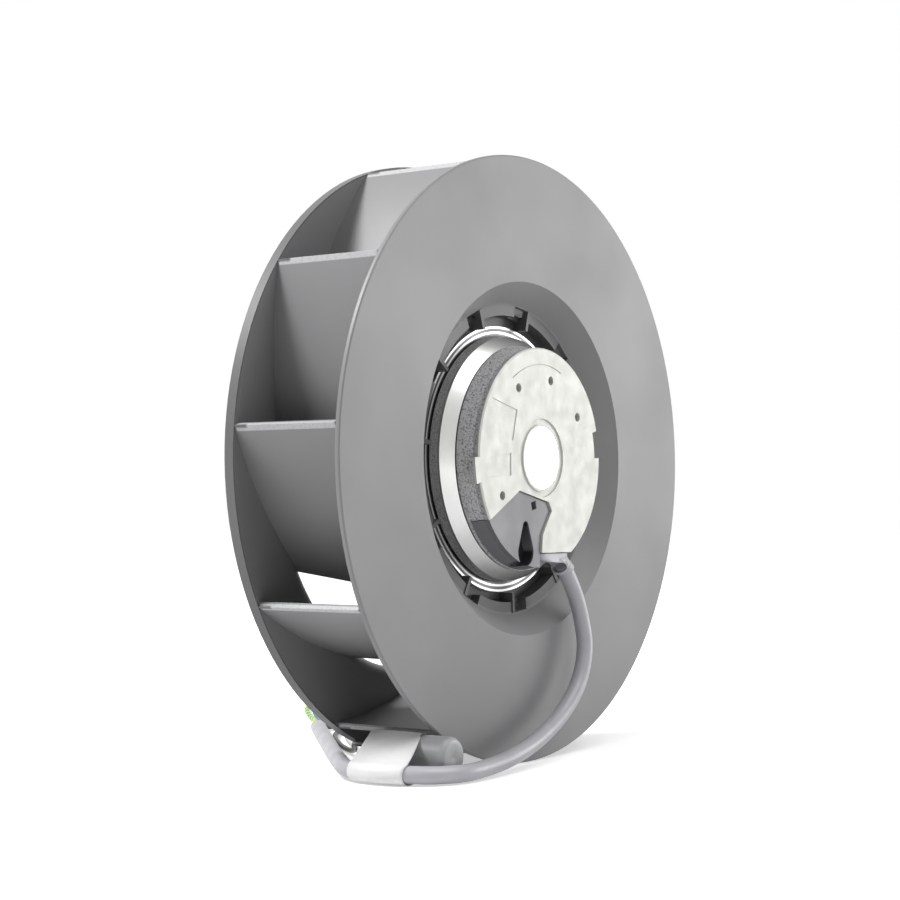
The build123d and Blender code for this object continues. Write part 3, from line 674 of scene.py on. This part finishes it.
def cast_aluminium(name, colours):
    """Die cast skin: pale and faintly blotched on the face, and greyer with dark specks on the
    skirt."""
    tree, shader = start_material(name, Metallic=0.2)
    base = colours.casting
    face, mask = tone_drift(tree, shaded(base), shaded(base, 0.88), 160.0, 0.4)
    skirt = dark_specks(tree, (0.58, 0.58, 0.59, 1), (0.11, 0.11, 0.115, 1), 1500.0)
    axis = place_group(tree, "Fan Axis")
    side = product(
        tree,
        spread(tree, axis["Along"], *SKIRT_START),
        spread(tree, axis["Radius"], *SKIRT_RADIUS),
    )
    colour = mix_colours(tree, side, face, skirt)
    roughness = spread(tree, mask, 0, 1, 0.42, 0.56)
    feed(tree, shader, colour, roughness, fine_grain(tree, 1100.0, 0.7), 0.00009, 0.5)


def cage_aluminium(name, _colours):
    """Cast cage ring: bright, faintly ringed shoulder, and a grainy band next to the can."""
    tree, shader = start_material(name, Metallic=0.85)
    shoulder, _ = tone_drift(tree, (0.66, 0.66, 0.64, 1), (0.52, 0.53, 0.53, 1), 60.0, 0.6)
    grainy = dark_specks(tree, (0.42, 0.42, 0.42, 1), (0.13, 0.13, 0.13, 1), 1900.0)
    band = spread(tree, place_group(tree, "Fan Axis")["Along"], *CAGE_BAND_START)
    colour = mix_colours(tree, band, shoulder, grainy)
    roughness = spread(tree, band, 0, 1, 0.3, 0.6)
    feed(tree, shader, colour, roughness, turning_marks(tree, 1800.0), 0.00004)


def can_steel(name, _colours):
    """Drawn can: dark, with its collar's outer edge and one ring inside it pale."""
    tree, shader = start_material(name, Metallic=1.0)
    radius = place_group(tree, "Fan Axis")["Radius"]
    ring = product(
        tree,
        spread(tree, radius, *COLLAR_RING_INSIDE),
        spread(tree, radius, *COLLAR_RING_OUTSIDE),
    )
    bright = maths(tree, "MAXIMUM", spread(tree, radius, *COLLAR_EDGE_RADIUS), ring)
    dark, mask = tone_drift(tree, (0.11, 0.11, 0.115, 1), (0.08, 0.08, 0.083, 1), 70.0, 0.4)
    colour = mix_colours(tree, bright, dark, (0.7, 0.7, 0.69, 1))
    roughness = spread(tree, mask, 0, 1, 0.25, 0.4)
    feed(tree, shader, colour, roughness, turning_marks(tree, 900.0), 0.00003)


def sheet_steel(name, _colours):
    """Laminated stack: blue grey sheets with dark joints and specks of rust brown."""
    tree, shader = start_material(name, Metallic=0.8)
    stack = place_group(tree, "Sheet Stack", Thickness=0.0005)
    sheets, mask = tone_drift(tree, (0.3, 0.31, 0.33, 1), (0.24, 0.2, 0.17, 1), 150.0, 0.6)
    colour = mix_colours(tree, stack["Joint"], sheets, (0.06, 0.06, 0.065, 1))
    roughness = spread(tree, mask, 0, 1, 0.35, 0.6)
    feed(tree, shader, colour, roughness, stack["Height"], 0.00005, 0.5)


def wound_copper(name, _colours):
    """Lacquered winding: strands that run round the head, amber, with dark painted shade between
    them.
    """
    tree, shader = start_material(name, Metallic=0.9)
    strands = turning_marks(tree, 1600.0)
    amber, _ = tone_drift(tree, (0.72, 0.32, 0.14, 1), (0.45, 0.16, 0.07, 1), 130.0, 0.8)
    gaps_with_painted_shade = spread(tree, strands, 0.5, 0.3)
    # Painted shade: dark between the strands
    colour = mix_colours(tree, gaps_with_painted_shade, amber, (0.12, 0.04, 0.02, 1))
    roughness = spread(tree, gaps_with_painted_shade, 0, 1, 0.25, 0.5)
    feed(tree, shader, colour, roughness, strands, 0.0003, 0.8)


def cover_plastic(name, colours):
    """Satin cover plastic, with nearly black painted shade inside the wire duct."""
    tree, shader = start_material(name, Specular_IOR_Level=0.5)
    base = colours.cover
    satin, mask = tone_drift(tree, shaded(base), shaded(base, 0.85), 45.0, 0.7)
    # Painted shade: nearly black inside the wire duct
    colour = mix_colours(tree, duct_shade(tree), satin, (0.012, 0.011, 0.013, 1))
    roughness = spread(tree, mask, 0, 1, 0.32, 0.44)
    feed(tree, shader, colour, roughness, fine_grain(tree, 1500.0), 0.00004)


def earth_wire(name, _colours):
    """Wire insulation with green and yellow in two halves that wind slowly round it."""
    tree, shader = start_material(name, Specular_IOR_Level=0.5)
    parts = split_place(tree)
    along = maths(tree, "ADD", parts["X"], parts["Y"])
    phase = maths(tree, "SINE", maths(tree, "MULTIPLY", along, EARTH_TWIST))
    height = maths(tree, "SUBTRACT", parts["Z"], EARTH_MIDDLE_Z)
    side = maths(tree, "MULTIPLY", height, EARTH_SLOPE)
    mask = spread(tree, maths(tree, "ADD", phase, side), -0.15, 0.15)
    colour = mix_colours(tree, mask, (0.05, 0.36, 0.09, 1), (0.75, 0.68, 0.05, 1))
    grain = fine_grain(tree, 2500.0)
    roughness = spread(tree, grain, 0.3, 0.7, 0.35, 0.5)
    feed(tree, shader, colour, roughness, grain, 0.00002)


def film_band(name, colours):
    """Bare white film: faint creases across it and a soft sheen."""
    tree, shader = start_material(name, Specular_IOR_Level=0.5)
    base = colours.band
    place = {"Vector": object_place(tree), "Scale": (1.0, 0.25, 1.0)}
    crease = noise(tree, add_node(tree, "Mapping", place).outputs[0], 260.0, 3.0)
    colour, _ = tone_drift(tree, shaded(base), shaded(base, 0.9), 150.0, 0.6)
    roughness = spread(tree, crease, 0.3, 0.7, 0.3, 0.5)
    feed(tree, shader, colour, roughness, crease, 0.0003, 0.35)


def turned_metal(name, base, low, high, marks_scale, depth):
    """Turned or drawn metal: marks round the axis, and a slow drift of gloss."""
    tree, shader = start_material(name, Metallic=1.0)
    colour, mask = tone_drift(tree, shaded(base), shaded(base, 0.85), 70.0, 0.7)
    roughness = spread(tree, mask, 0, 1, low, high)
    feed(tree, shader, colour, roughness, turning_marks(tree, marks_scale), depth)


def moulded(name, base, low, high, grain_scale, depth, drift_scale):
    """Moulded or extruded plastic: one colour that drifts a little, with a fine grain."""
    tree, shader = start_material(name, Specular_IOR_Level=0.5)
    colour, mask = tone_drift(tree, shaded(base), shaded(base, 0.85), drift_scale, 0.7)
    roughness = spread(tree, mask, 0, 1, low, high)
    feed(tree, shader, colour, roughness, fine_grain(tree, grain_scale), depth)


# Finishes that have a function of their own, by material slot
FINISHES = {
    "impeller_plastic": impeller_plastic,
    "cast_aluminium": cast_aluminium,
    "cage_aluminium": cage_aluminium,
    "can_steel": can_steel,
    "core_steel": sheet_steel,
    "copper_wire": wound_copper,
    "cover_plastic": cover_plastic,
    "wire_earth": earth_wire,
    "band_white": film_band,
}

# Turned metals by slot: colour, the two roughnesses between which it drifts, and the scale and
# depth of its marks
TURNED_METALS = {
    "cap_steel": ((0.9, 0.9, 0.89), 0.12, 0.22, 2600.0, 0.00001),
    "bearing_steel": ((0.62, 0.62, 0.63), 0.08, 0.16, 3500.0, 0.00001),
    "cage_steel": ((0.55, 0.54, 0.52), 0.25, 0.4, 1500.0, 0.00002),
    "spring_steel": ((0.45, 0.44, 0.42), 0.25, 0.4, 2000.0, 0.00002),
    "ferrule_tin": ((0.72, 0.72, 0.7), 0.25, 0.4, 2500.0, 0.00001),
}

# Plastics by slot: colour or the name of its property, the two roughnesses between which it
# drifts, the scale and depth of its grain, and the scale of its drift
PLASTICS = {
    "slot_insulation": ((0.72, 0.66, 0.5), 0.5, 0.65, 1500.0, 0.00003, 40.0),
    "protector_black": ((0.03, 0.03, 0.032), 0.35, 0.5, 1500.0, 0.00004, 40.0),
    "cable_grey": ("cable", 0.3, 0.42, 1800.0, 0.00004, 70.0),
    "capacitor_grey": ("capacitor", 0.35, 0.5, 1400.0, 0.00004, 60.0),
    "wire_blue": ((0.13, 0.32, 0.55), 0.35, 0.5, 2500.0, 0.00002, 40.0),
    "wire_brown": ((0.13, 0.05, 0.025), 0.35, 0.5, 2500.0, 0.00002, 40.0),
    "wire_black": ((0.02, 0.02, 0.022), 0.35, 0.5, 2500.0, 0.00002, 40.0),
    "wire_white": ((0.75, 0.75, 0.74), 0.35, 0.5, 2500.0, 0.00002, 40.0),
    "ferrule_grey": ((0.32, 0.33, 0.35), 0.35, 0.5, 2500.0, 0.00002, 40.0),
}


def seen_rays(tree):
    """1 where a camera, glossy or transmission ray arrives, else 0."""
    rays = add_node(tree, "LightPath").outputs
    mirrored = maths(tree, "MAXIMUM", rays["Is Glossy Ray"], rays["Is Transmission Ray"])
    return maths(tree, "MAXIMUM", rays["Is Camera Ray"], mirrored)


def stage_floor(name):
    """Pale floor that such a ray sees brighter with its distance from the fan, so that it keeps
    the shadow and meets the white sky."""
    tree, shader = start_material(
        name, Base_Color=(0.82, 0.82, 0.82, 1), Roughness=0.9, Specular_IOR_Level=0.0
    )
    distance = vector_maths(tree, "LENGTH", "Value", object_place(tree))
    level = spread(tree, distance, *FLOOR_FADE, *FLOOR_GLOW)
    lift = add_node(tree, "Emission", {"Strength": product(tree, seen_rays(tree), level)})
    both = add_node(tree, "AddShader", {0: shader.outputs[0], 1: lift.outputs[0]})
    fill_inputs(tree, tree.nodes["Material Output"], {"Surface": both.outputs[0]})


def stage_sky(scene, strength):
    """Sky that is white to such a ray, and softer as a light."""
    world = bpy.data.worlds.new("stage_sky")
    scene.world = world
    world.use_nodes = True
    tree = world.node_tree
    tree.nodes.clear()
    level = spread(tree, seen_rays(tree), 0, 1, strength, 1.0)
    white = add_node(tree, "Background", {"Color": (1, 1, 1, 1), "Strength": level})
    add_node(tree, "OutputWorld", {"Surface": white.outputs[0]})


# Meshes


def link_object(name, data):
    """A new object at the origin, in the scene."""
    made = bpy.data.objects.new(name, data)
    bpy.context.scene.collection.objects.link(made)
    return made


def grid_faces(rows, columns):
    """Quads between neighbouring rows of a grid of points whose last column meets the first."""
    row = np.arange(rows - 1)[:, None] * columns
    column = np.arange(columns)[None, :]
    following = (column + 1) % columns
    corners = (row + column, row + columns + column, row + columns + following, row + following)
    return np.stack(np.broadcast_arrays(*corners), -1).reshape(-1, 4).tolist()


def closed_faces(rows, columns):
    """Those quads, and one face over the first row and one over the last."""
    ends = np.arange(columns), np.arange(rows * columns - 1, (rows - 1) * columns - 1, -1)
    return grid_faces(rows, columns) + [end.tolist() for end in ends]


def add_piece(name, points, faces, material, smooth=True):
    """A mesh object at the origin, from an array of points and a list of faces."""
    mesh = bpy.data.meshes.new(name)
    mesh.from_pydata(points.tolist(), [], faces)
    mesh.materials.append(bpy.data.materials[material])
    mesh.shade_smooth() if smooth else mesh.shade_flat()
    return link_object(name, mesh)


def turned_points(profile, centre, sides):
    """Points of a turned shape about a line along Y through centre, from its (y, radius)
    profile: x and z go round the line as radius times the cosine and sine of the angle."""
    angle = np.linspace(0, 2 * np.pi, sides, endpoint=False)
    x = centre[0] + profile[:, 1:2] * np.cos(angle)
    y = np.broadcast_to(profile[:, 0:1], x.shape)
    z = centre[1] + profile[:, 1:2] * np.sin(angle)
    return np.stack([x, y, z], -1).reshape(-1, 3)


def rounded_corner(y, radius, reach, start, end, steps=8):
    """Profile points of a corner with radius reach about (y, radius), from angle start to end,
    in degrees from +Y towards the outside."""
    angle = np.radians(np.linspace(start, end, steps))
    return np.stack([y + reach * np.cos(angle), radius + reach * np.sin(angle)], -1)


def centreline(curve_object):
    """Points along a cord's own spline, read from a copy of its curve without its bevel."""
    bare = curve_object.data.copy()
    bare.bevel_depth = 0
    holder = bpy.data.objects.new("bare_line", bare)
    mesh = bpy.data.meshes.new_from_object(holder)
    points = np.zeros(len(mesh.vertices) * 3)
    mesh.vertices.foreach_get("co", points)
    bpy.data.objects.remove(holder)
    bpy.data.curves.remove(bare)
    bpy.data.meshes.remove(mesh)
    return points.reshape(-1, 3)


def add_cord(name, route, diameter, material):
    """A round cord: a smooth spline with the route's points as its control points."""
    curve = bpy.data.curves.new(name, "CURVE")
    curve.dimensions = "3D"
    spline = curve.splines.new("NURBS")
    spline.points.add(len(route) - 1)
    weights = np.ones((len(route), 1))
    spline.points.foreach_set("co", np.hstack([np.array(route), weights]).ravel())
    spline.order_u = 3
    spline.use_endpoint_u = True
    curve.resolution_u = 16
    curve.bevel_depth = diameter / 2
    curve.bevel_resolution = 5
    curve.use_fill_caps = True
    curve.materials.append(bpy.data.materials[material])
    return link_object(name, curve)


def ease(share):
    """Smooth step: 3 s^2 - 2 s^3 for a share s from 0 to 1."""
    share = np.clip(share, 0, 1)
    return share * share * (3 - 2 * share)


def superellipse(turn, power):
    """A cosine or sine raised to power with its sign kept, for a superellipse's outline."""
    return np.sign(turn) * np.abs(turn) ** power


def funnel_points(block, cable_end, heading, radius):
    """Closed sections that run from a block's underside to a cable. For s from 0 to 1:
    centre     cubic Bezier from the block, straight down at first, to the cable along heading
    half width a + (r - a) e(s), half depth b + (r - b) e(s), where e is the smooth step
    outline    superellipse |u / a|^n + |v / b|^n = 1 with n from 5 to 2
    ribs       low swellings, each a cosine wave, from RIB_START to the cable."""
    centre, half_width, half_depth = block
    down = np.array([0.0, 0.0, -1.0])
    across, depth = np.array([1.0, 0.0, 0.0]), np.array([0.0, 1.0, 0.0])
    share = np.linspace(0, 1, GROMMET_STEPS)[:, None]
    reach = np.linalg.norm(cable_end - centre) * FUNNEL_PULL
    near, far = centre + down * reach, cable_end - heading * reach
    line = (1 - share) ** 3 * centre + 3 * (1 - share) ** 2 * share * near
    line = line + 3 * (1 - share) * share**2 * far + share**3 * cable_end
    level = np.cross(depth, heading)
    turn = ease((share - FUNNEL_TURN_START) / (1 - FUNNEL_TURN_START))
    side = across * (1 - turn) + level / np.linalg.norm(level) * turn
    side = side / np.linalg.norm(side, axis=1)[:, None]
    grown = ease(share * FUNNEL_GROWTH)
    phase = 2 * np.pi * RIB_COUNT * (share - RIB_START) / (1 - RIB_START)
    swell = np.where(share > RIB_START, 1 + np.cos(phase), 0) * RIB_RISE * radius
    wide = half_width + (radius - half_width) * grown + swell
    deep = half_depth + (radius - half_depth) * grown + swell
    power = 2 / (5 - 3 * grown)
    angle = np.linspace(0, 2 * np.pi, GROMMET_SIDES, endpoint=False)
    u = wide * superellipse(np.cos(angle), power)
    v = deep * superellipse(np.sin(angle), power)
    points = line[:, None] + u[..., None] * side[:, None] + v[..., None] * depth
    return points.reshape(-1, 3)


def belt_points(first, first_radius, second, second_radius, count):
    """Even points round a belt over two pulleys in a plane: for each direction the pulley that
    reaches furthest gives the point, and the outline is then divided evenly by its length."""
    angle = np.linspace(0, 2 * np.pi, 720, endpoint=False)
    heading = np.stack([np.cos(angle), np.sin(angle)], -1)
    on_first = first + first_radius * heading
    on_second = second + second_radius * heading
    further = (on_second * heading).sum(1) > (on_first * heading).sum(1)
    outline = np.where(further[:, None], on_second, on_first)
    closed = np.vstack([outline, outline[:1]])
    travelled = np.concatenate([[0], np.cumsum(np.linalg.norm(np.diff(closed, axis=0), axis=1))])
    wanted = np.linspace(0, travelled[-1], count, endpoint=False)
    return np.stack([np.interp(wanted, travelled, closed[:, i]) for i in (0, 1)], -1)


# Operators


class FAN_OT_materials(bpy.types.Operator):
    """Put this script's finishes on the CAD nodes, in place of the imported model's"""

    bl_idname = "fan.materials"
    bl_label = "Finishes"

    def execute(self, context):
        slots = {name: node.data.materials[0].name for name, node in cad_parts.items()}
        for slot in sorted(set(slots.values())):
            bpy.data.materials.remove(bpy.data.materials[slot])
        colours = context.scene.fan_colours
        for build in GROUP_BUILDERS:
            build()
        for slot, build in FINISHES.items():
            build(slot, colours)
        for slot, look in TURNED_METALS.items():
            turned_metal(slot, *look)
        for slot, (base, *look) in PLASTICS.items():
            moulded(slot, getattr(colours, base) if isinstance(base, str) else base, *look)
        for name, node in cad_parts.items():
            for material_slot in node.material_slots:
                material_slot.material = bpy.data.materials[slots[name]]
        return {"FINISHED"}


class FAN_OT_cords(bpy.types.Operator):
    """Lay the cable, its conductors and the capacitor's leads"""

    bl_idname = "fan.cords"
    bl_label = "Cords"

    def execute(self, context):
        sizes = context.scene.fan_sizes
        cable = add_cord("supply_cable", CABLE_ROUTE, sizes.cable_diameter, "cable_grey")
        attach(cable, "stator")
        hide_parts("cable_sheath")
        for name, route, length, slot, node in WIRES:
            wire = add_cord(name, route, sizes.wire_diameter, slot)
            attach(wire, "stator")
            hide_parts(node)
        return {"FINISHED"}


class FAN_OT_grommet(bpy.types.Operator):
    """Shape the soft grommet between the flange and the cable"""

    bl_idname = "fan.grommet"
    bl_label = "Grommet"

    def execute(self, context):
        radius = context.scene.fan_sizes.cable_diameter / 2 + GROMMET_WALL
        low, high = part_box("cable_grommet")
        middle_y = max((low.y + high.y) / 2, low.y + GROMMET_DEPTH / 2)
        centre = np.array([(low.x + GROMMET_END_X) / 2, middle_y, high.z - GROMMET_INSET])
        block = (centre, (GROMMET_END_X - low.x) / 2, GROMMET_DEPTH / 2)
        start, following = np.array(CABLE_ROUTE[0]), np.array(CABLE_ROUTE[1])
        heading = (following - start) / np.linalg.norm(following - start)
        points = funnel_points(block, start + heading * GROMMET_OVERLAP, heading, radius)
        faces = closed_faces(GROMMET_STEPS, GROMMET_SIDES)
        grommet = add_piece("grommet", points, faces, "cable_grey")
        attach(grommet, "stator")
        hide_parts("cable_grommet")
        return {"FINISHED"}


class FAN_OT_capacitor(bpy.types.Operator):
    """Turn the capacitor's case, with its rounded foot and its potted end"""

    bl_idname = "fan.capacitor"
    bl_label = "Capacitor"

    def execute(self, context):
        low, high = CAPACITOR_LOW, CAPACITOR_HIGH
        centre = ((low.x + high.x) / 2, (low.z + high.z) / 2)
        radius = (high.x - low.x) / 2
        foot = [[low.y + CASE_DIMPLE_DEPTH, CASE_CENTRE], [low.y, CASE_DIMPLE_RADIUS]]
        rim = radius - CASE_RIM
        potting_y = high.y - CASE_POTTING_DEPTH
        potting = [[high.y, rim], [potting_y, rim - CASE_SLOPE], [potting_y, CASE_CENTRE]]
        profile = np.vstack(
            [
                foot,
                rounded_corner(low.y + CASE_FOOT, radius - CASE_FOOT, CASE_FOOT, 180, 90),
                rounded_corner(high.y - CASE_LIP, radius - CASE_LIP, CASE_LIP, 90, 0),
                potting,
            ]
        )
        sides = context.scene.fan_sizes.turned_sides
        points = turned_points(profile, centre, sides)
        faces = closed_faces(len(profile), sides)
        case = add_piece("capacitor_case", points, faces, "capacitor_grey")
        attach(case, "stator")
        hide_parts("capacitor")
        return {"FINISHED"}


class FAN_OT_band(bpy.types.Operator):
    """Wrap the bare film band round the capacitor and the cable"""

    bl_idname = "fan.band"
    bl_label = "Band"

    def execute(self, context):
        sizes = context.scene.fan_sizes
        low, high = CAPACITOR_LOW, CAPACITOR_HIGH
        centre = np.array([(low.x + high.x) / 2, (low.z + high.z) / 2])
        case_reach = (high.x - low.x) / 2 + BAND_CASE_GAP
        cable_reach = sizes.cable_diameter / 2 + BAND_CABLE_GAP
        line = centreline(bpy.data.objects["supply_cable"])
        line = line[(line[:, 1] > 0) & (np.arange(len(line)) > len(line) // 3)]
        stations = np.linspace(BAND_LOW.y, BAND_HIGH.y, BAND_STATIONS)
        cable_x = np.interp(stations - BAND_LEAN, line[:, 1], line[:, 0])
        cable_z = np.interp(stations - BAND_LEAN, line[:, 1], line[:, 2])
        stretches = np.hypot(1, np.gradient(cable_x, stations))
        turn = np.linspace(0, 2 * np.pi * BAND_WAVES, BAND_SIDES)
        rings = []
        for y, x, z, stretch in zip(stations, cable_x, cable_z, stretches):
            cable = np.array([x, z])
            outline = belt_points(centre, case_reach, cable, cable_reach, BAND_SIDES)
            wave = BAND_WAVE_DEPTH * np.sin(turn + BAND_WAVE_SHIFT * y)
            outward = outline - outline.mean(0)
            outline = outline + outward / np.linalg.norm(outward, axis=1)[:, None] * wave[:, None]
            across = cable - centre
            share = np.clip((outline - centre) @ across / (across @ across), 0, 1)
            outline[:, 0] += (outline[:, 0] - x) * (stretch - 1) * share
            rings.append(np.stack([outline[:, 0], y - BAND_LEAN * share, outline[:, 1]], -1))
        faces = grid_faces(BAND_STATIONS, BAND_SIDES)
        band = add_piece("film_band", np.concatenate(rings), faces, "band_white")
        wall = band.modifiers.new("Thickness", "SOLIDIFY")
        wall.thickness = sizes.band_thickness
        wall.offset = 1
        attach(band, "stator")
        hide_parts("label_band")
        return {"FINISHED"}


def aim(thing, heading):
    """Turns a camera or a lamp to look along heading."""
    thing.rotation_euler = Vector(heading).to_track_quat("-Z", "Y").to_euler()


def add_lamp(name, place, target, size, power):
    """A square soft lamp at place, aimed at target."""
    lamp_data = bpy.data.lights.new(name, "AREA")
    lamp_data.shape = "SQUARE"
    lamp_data.size = size
    lamp_data.energy = power
    lamp = link_object(name, lamp_data)
    lamp.location = place
    aim(lamp, Vector(target) - Vector(place))


class FAN_OT_stage(bpy.types.Operator):
    """Put the fan on a white floor under soft light, and set the camera"""

    bl_idname = "fan.stage"
    bl_label = "Stage"

    def execute(self, context):
        scene = context.scene
        settings = scene.fan_stage
        camera_data = bpy.data.cameras.new("fan_camera")
        camera_data.lens = settings.focal_length
        camera_data.sensor_width = SENSOR_WIDTH
        camera_data.clip_start = NEAREST_SEEN
        camera = link_object("fan_camera", camera_data)
        camera.location = settings.camera_place
        aim(camera, settings.camera_heading)
        scene.camera = camera
        scene.view_settings.view_transform = "Standard"

        corners = np.array([[-1, -1, 0], [1, -1, 0], [1, 1, 0], [-1, 1, 0]]) * FLOOR_REACH
        corners[:, 2] = FLOOR_Z - FLOOR_GAP
        stage_floor("stage_floor")
        floor = add_piece("floor", corners, [[0, 1, 2, 3]], "stage_floor", smooth=False)

        stage_sky(scene, settings.sky_strength)
        for name, place, target, size, power in LAMPS:
            add_lamp(name, place, target, size, getattr(settings, power))
        return {"FINISHED"}


class FAN_PT_panel(bpy.types.Panel):
    """Lists the fan's sizes, colours and operators"""

    bl_idname = "FAN_PT_panel"
    bl_label = "Centrifugal fan"
    bl_space_type = "VIEW_3D"
    bl_region_type = "UI"
    bl_category = "Fan"

    def draw(self, context):
        scene = context.scene
        for group in (scene.fan_colours, scene.fan_sizes, scene.fan_stage):
            box = self.layout.box()
            for key in type(group).__annotations__:
                box.prop(group, key)
        for operator in OPERATORS:
            self.layout.operator(operator.bl_idname)


OPERATORS = (
    FAN_OT_materials,
    FAN_OT_cords,
    FAN_OT_grommet,
    FAN_OT_capacitor,
    FAN_OT_band,
    FAN_OT_stage,
)
CLASSES = (FanColours, FanSizes, StageSettings, *OPERATORS, FAN_PT_panel)


def register():
    for each in CLASSES:
        bpy.utils.register_class(each)
    bpy.types.Scene.fan_colours = PointerProperty(type=FanColours)
    bpy.types.Scene.fan_sizes = PointerProperty(type=FanSizes)
    bpy.types.Scene.fan_stage = PointerProperty(type=StageSettings)


def unregister():
    del bpy.types.Scene.fan_stage
    del bpy.types.Scene.fan_sizes
    del bpy.types.Scene.fan_colours
    for each in reversed(CLASSES):
        bpy.utils.unregister_class(each)


def main():
    """Runs every operator in order."""
    register()
    bpy.ops.fan.materials()
    bpy.ops.fan.cords()
    bpy.ops.fan.grommet()
    bpy.ops.fan.capacitor()
    bpy.ops.fan.band()
    bpy.ops.fan.stage()


if __name__ == "__main__":
    main()
